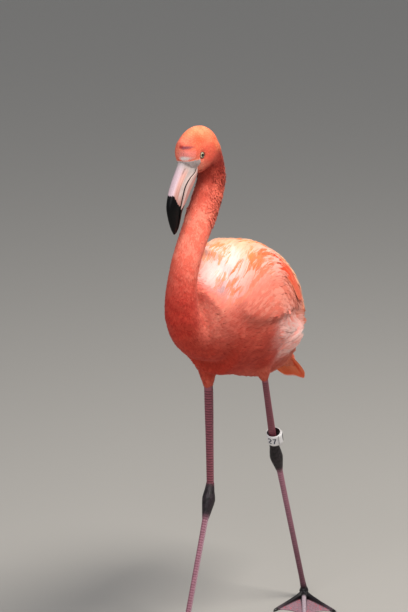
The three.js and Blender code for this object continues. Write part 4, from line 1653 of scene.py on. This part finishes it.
def legMaterial():
    # the net is a mesh of small scales, darker in its seams
    material = hornMaterial("legSkin", 0.48, 0.05, 800, 0.0002, 0.35)
    shader, link = wiring(material)
    colour = shader.inputs["Base Color"].links[0].from_socket
    where = addNode(material, "TexCoord")
    cells = addNode(material, "TexVoronoi", {"Scale": 240}, feature="DISTANCE_TO_EDGE")
    link(where.outputs["Object"], cells.inputs["Vector"])
    seam = addNode(material, "MapRange", {"From Max": 0.16, "To Min": 1, "To Max": 0})
    link(cells.outputs["Distance"], seam.inputs["Value"])
    net = addNode(material, "Attribute", attribute_name="net")
    here = addNode(material, "Math", operation="MULTIPLY")
    link(seam.outputs["Result"], here.inputs[0])
    link(net.outputs["Fac"], here.inputs[1])
    fade = addNode(material, "MapRange", {"To Min": 1.15, "To Max": 0.4})
    link(here.outputs["Value"], fade.inputs["Value"])
    scaledColour(material, colour, fade.outputs["Result"])
    return material


legSkin = legMaterial()
clawHorn = hornMaterial("clawHorn", 0.35, 0.1, 500, 0.0002, 0.4)
for side in sides:
    dressLeg(side)
    dressClaws(side)

# The leg band.
band = {
    "raised": 48.5,
    "shift": (-1, 4.8, 0),
    "inner": 11.8,
    "wall": 1.4,
    "height": 24,
    "round": 0.5,
    "lap": {"from": 64, "to": 128, "gap": 0.9},
    # clip: a dark strip near the end of the lap, painted shade in the gap under the lapped end
    "clip": {"at": 112, "half": 11, "tall": 17, "thick": 2.6, "sunk": 0.4},
    "digitsAt": 10,
    "digitWidth": 2.7,
    "digits": [  # strokes, as millimetres to the right and up on the band
        [
            (-7.6, 2.6), (-6.8, 4.7), (-4.6, 5.6), (-2.4, 4.6),
            (-1.9, 2.4), (-3.2, 0), (-6.0, -3.0), (-7.6, -5.2),
        ],
        [(-7.9, -5.2), (-1.6, -5.2)],
        [(1.4, 5.2), (7.6, 5.2)],
        [(7.3, 5.2), (5.4, 1.2), (4.2, -2.2), (3.6, -5.9)],
    ],
    # clip is the tone of the painted shade in the gap under the lapped end
    "tones": {"ring": "EDEAEA", "inside": "2A2628", "digit": "1B2440", "clip": "121012"},
}
bandTones = palette(band["tones"])
legTop, ankle = (np.array(legs["left"]["line"][i], float) for i in (0, 2))
bandAxis = unit(legTop - ankle)
bandMiddle = ankle + bandAxis * band["raised"] + np.array(band["shift"])


def onBand(azimuth, radius, height):
    # azimuth in degrees round the leg from the front, towards the bird's left
    front = unit(np.array([0, -1, 0]) - bandAxis * -bandAxis[1])
    leftward = np.cross(front, bandAxis)
    leftward *= np.sign(leftward[0])
    a = np.radians(azimuth)[:, None]
    out = np.cos(a) * front + np.sin(a) * leftward
    place = bandMiddle + out * np.asarray(radius)[:, None] + bandAxis * np.asarray(height)[:, None]
    return (place + floorBase) * mm


def hoop(inner, outer, half, start, end):
    # a flat ring, or part of one, whose section runs round a rounded box
    corner = band["round"]
    loop = np.array([
        (inner, -half + corner), (inner, half - corner), (inner + corner, half), (outer - corner, half),
        (outer, half - corner), (outer, -half + corner), (outer - corner, -half), (inner + corner, -half),
        (inner, -half + corner),
    ])

    def place(u, v):
        spot = np.clip(v, 0, 1) * (len(loop) - 1)
        low = np.minimum(spot.astype(int), len(loop) - 2)
        section = loop[low] + (loop[low + 1] - loop[low]) * (spot - low)[:, None]
        closing = ramp(np.minimum(u, 1 - u), 0, 0.02) if end - start < 360 else np.ones_like(u)
        middle = np.array([(inner + outer) / 2, 0])
        section = middle + (section - middle) * closing[:, None]
        # dark on the inside, partly the ring's own dark inner layer and partly painted shade
        shade = mixed(bandTones["inside"], bandTones["ring"], section[:, 0] > inner + 0.2)
        shade *= (1 - 0.05 * ramp(wobble(np.stack([u * 60, v * 8, u * 0], 1), 3, 71), 0.2, 1))[:, None]
        return onBand(start + (end - start) * u, section[:, 0], section[:, 1]), shade

    return place


def stroke(line, radius):
    line = np.array(line, float)

    def place(u, v):
        if len(line) > 2:
            centre, ahead = curved(line, u), curved(line, u + 0.02) - curved(line, u - 0.02)
        else:
            ahead = np.tile(line[1] - line[0], (len(u), 1))
            centre = line[0] + ahead * u[:, None]
        ahead = unit(ahead)
        aside = np.stack([-ahead[:, 1], ahead[:, 0]], 1)
        spot = centre + aside * ((v - 0.5) * band["digitWidth"])[:, None]
        height = 0.12 - 0.4 * (np.abs(v - 0.5) > 0.49)  # the edges dip into the ring
        azimuth = band["digitsAt"] + np.degrees(spot[:, 0] / radius)
        return onBand(azimuth, radius + height, spot[:, 1]), np.tile(bandTones["digit"], (len(u), 1))

    return place


plastic = hornMaterial("plastic", 0.35, 0.1, 260, 0.00005, 0.4)
inner, outer, half = band["inner"], band["inner"] + band["wall"], band["height"] / 2
lap, clip = band["lap"], band["clip"]
aroundLeg = hoop(inner, outer, half, 0, 360)
overLap = hoop(outer + lap["gap"], outer + lap["gap"] + band["wall"], half, lap["from"], lap["to"])
start, end = clip["at"] - clip["half"], clip["at"] + clip["half"]
onLap = hoop(outer - clip["sunk"], outer + clip["thick"], clip["tall"] / 2, start, end)


# the dark strip is painted shade in the gap under the lapped end
def gapShadePlace(u, v):
    return onLap(u, v)[0], np.tile(bandTones["clip"], (len(u), 1))


ring = joined(
    "band_ring", [sheet("ring", 120, 40, aroundLeg, plastic), sheet("lap", 40, 40, overLap, plastic)]
)
gapShadePiece = sheet("band_gap_shade", 20, 40, gapShadePlace, plastic)
strokes = [sheet("digit", 24, 8, stroke(line, outer), plastic) for line in band["digits"]]
digits = joined("band_digits", strokes)
for piece in (ring, gapShadePiece, digits):
    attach(piece, "root")
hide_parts("leg_band")
print("band")


# Camera, floor and lights.
view = {
    "azimuth": 28,
    "elevation": 16,
    "distance": 3800,
    "aim": (-9, 17, 602.5),  # the point that the framing is set on
    "right": 0.0539216,  # where it stands in the render, as shares of its height
    "up": 0.00163399,
    "lens": 127.73,
    "sensor": 36,
}


def bearing(azimuth, elevation):
    a, e = math.radians(azimuth), math.radians(elevation)
    return Vector((math.sin(a) * math.cos(e), -math.cos(a) * math.cos(e), math.sin(e)))


def placed(name, data, location, behind):
    # behind is the direction away from what the lamp or camera looks at
    item = bpy.data.objects.new(name, data)
    item.location = location
    item.rotation_euler = (-behind).to_track_quat("-Z", "Y").to_euler()
    bpy.context.scene.collection.objects.link(item)
    return item


def makeCamera():
    back = bearing(view["azimuth"], view["elevation"])
    right = Vector((0, 0, 1)).cross(back).normalized()
    up = back.cross(right)
    reach = view["distance"] * mm * view["sensor"] / view["lens"]
    data = bpy.data.cameras.new("camera")
    data.lens = view["lens"]
    data.sensor_width = view["sensor"]
    aim = Vector(toFrame(view["aim"])) - right * view["right"] * reach - up * view["up"] * reach
    bpy.context.scene.camera = placed("camera", data, aim + back * view["distance"] * mm, back)


makeCamera()

studio = {
    "floorSize": 60.0,
    "floorTone": (0.42, 0.4, 0.37, 1),
    "sky": (0.92, 0.95, 1.0, 1),
    "skyStrength": 0.38,
    "aim": (0, 0, 0.6),
    "lamps": {  # azimuth and elevation that the light comes from, distance, size, watts and colour
        "key": (94, 63, 2.6, 1.0, 74, (1, 0.96, 0.9)),
        "fill": (8, 36, 3.2, 2.2, 42, (0.97, 0.98, 1)),
    },
}


def makeStudio():
    bm = bmesh.new()
    bmesh.ops.create_grid(bm, x_segments=1, y_segments=1, size=studio["floorSize"] / 2)
    paleFloor = newMaterial("paleFloor", {"Base Color": studio["floorTone"], "Roughness": 0.9})
    pieceOf("floor", bm, paleFloor)
    world = bpy.data.worlds.new("sky")
    world.use_nodes = True
    background = world.node_tree.nodes["Background"]
    setInputs(background, {"Color": studio["sky"], "Strength": studio["skyStrength"]})
    bpy.context.scene.world = world
    for name, (azimuth, elevation, distance, size, power, colour) in studio["lamps"].items():
        toward = bearing(azimuth, elevation)
        data = bpy.data.lights.new(name, "AREA")
        data.size = size
        data.energy = power
        data.color = colour
        placed(name, data, Vector(studio["aim"]) + toward * distance, toward)


makeStudio()
bpy.context.scene.view_settings.view_transform = "Standard"
bpy.context.view_layer.update()
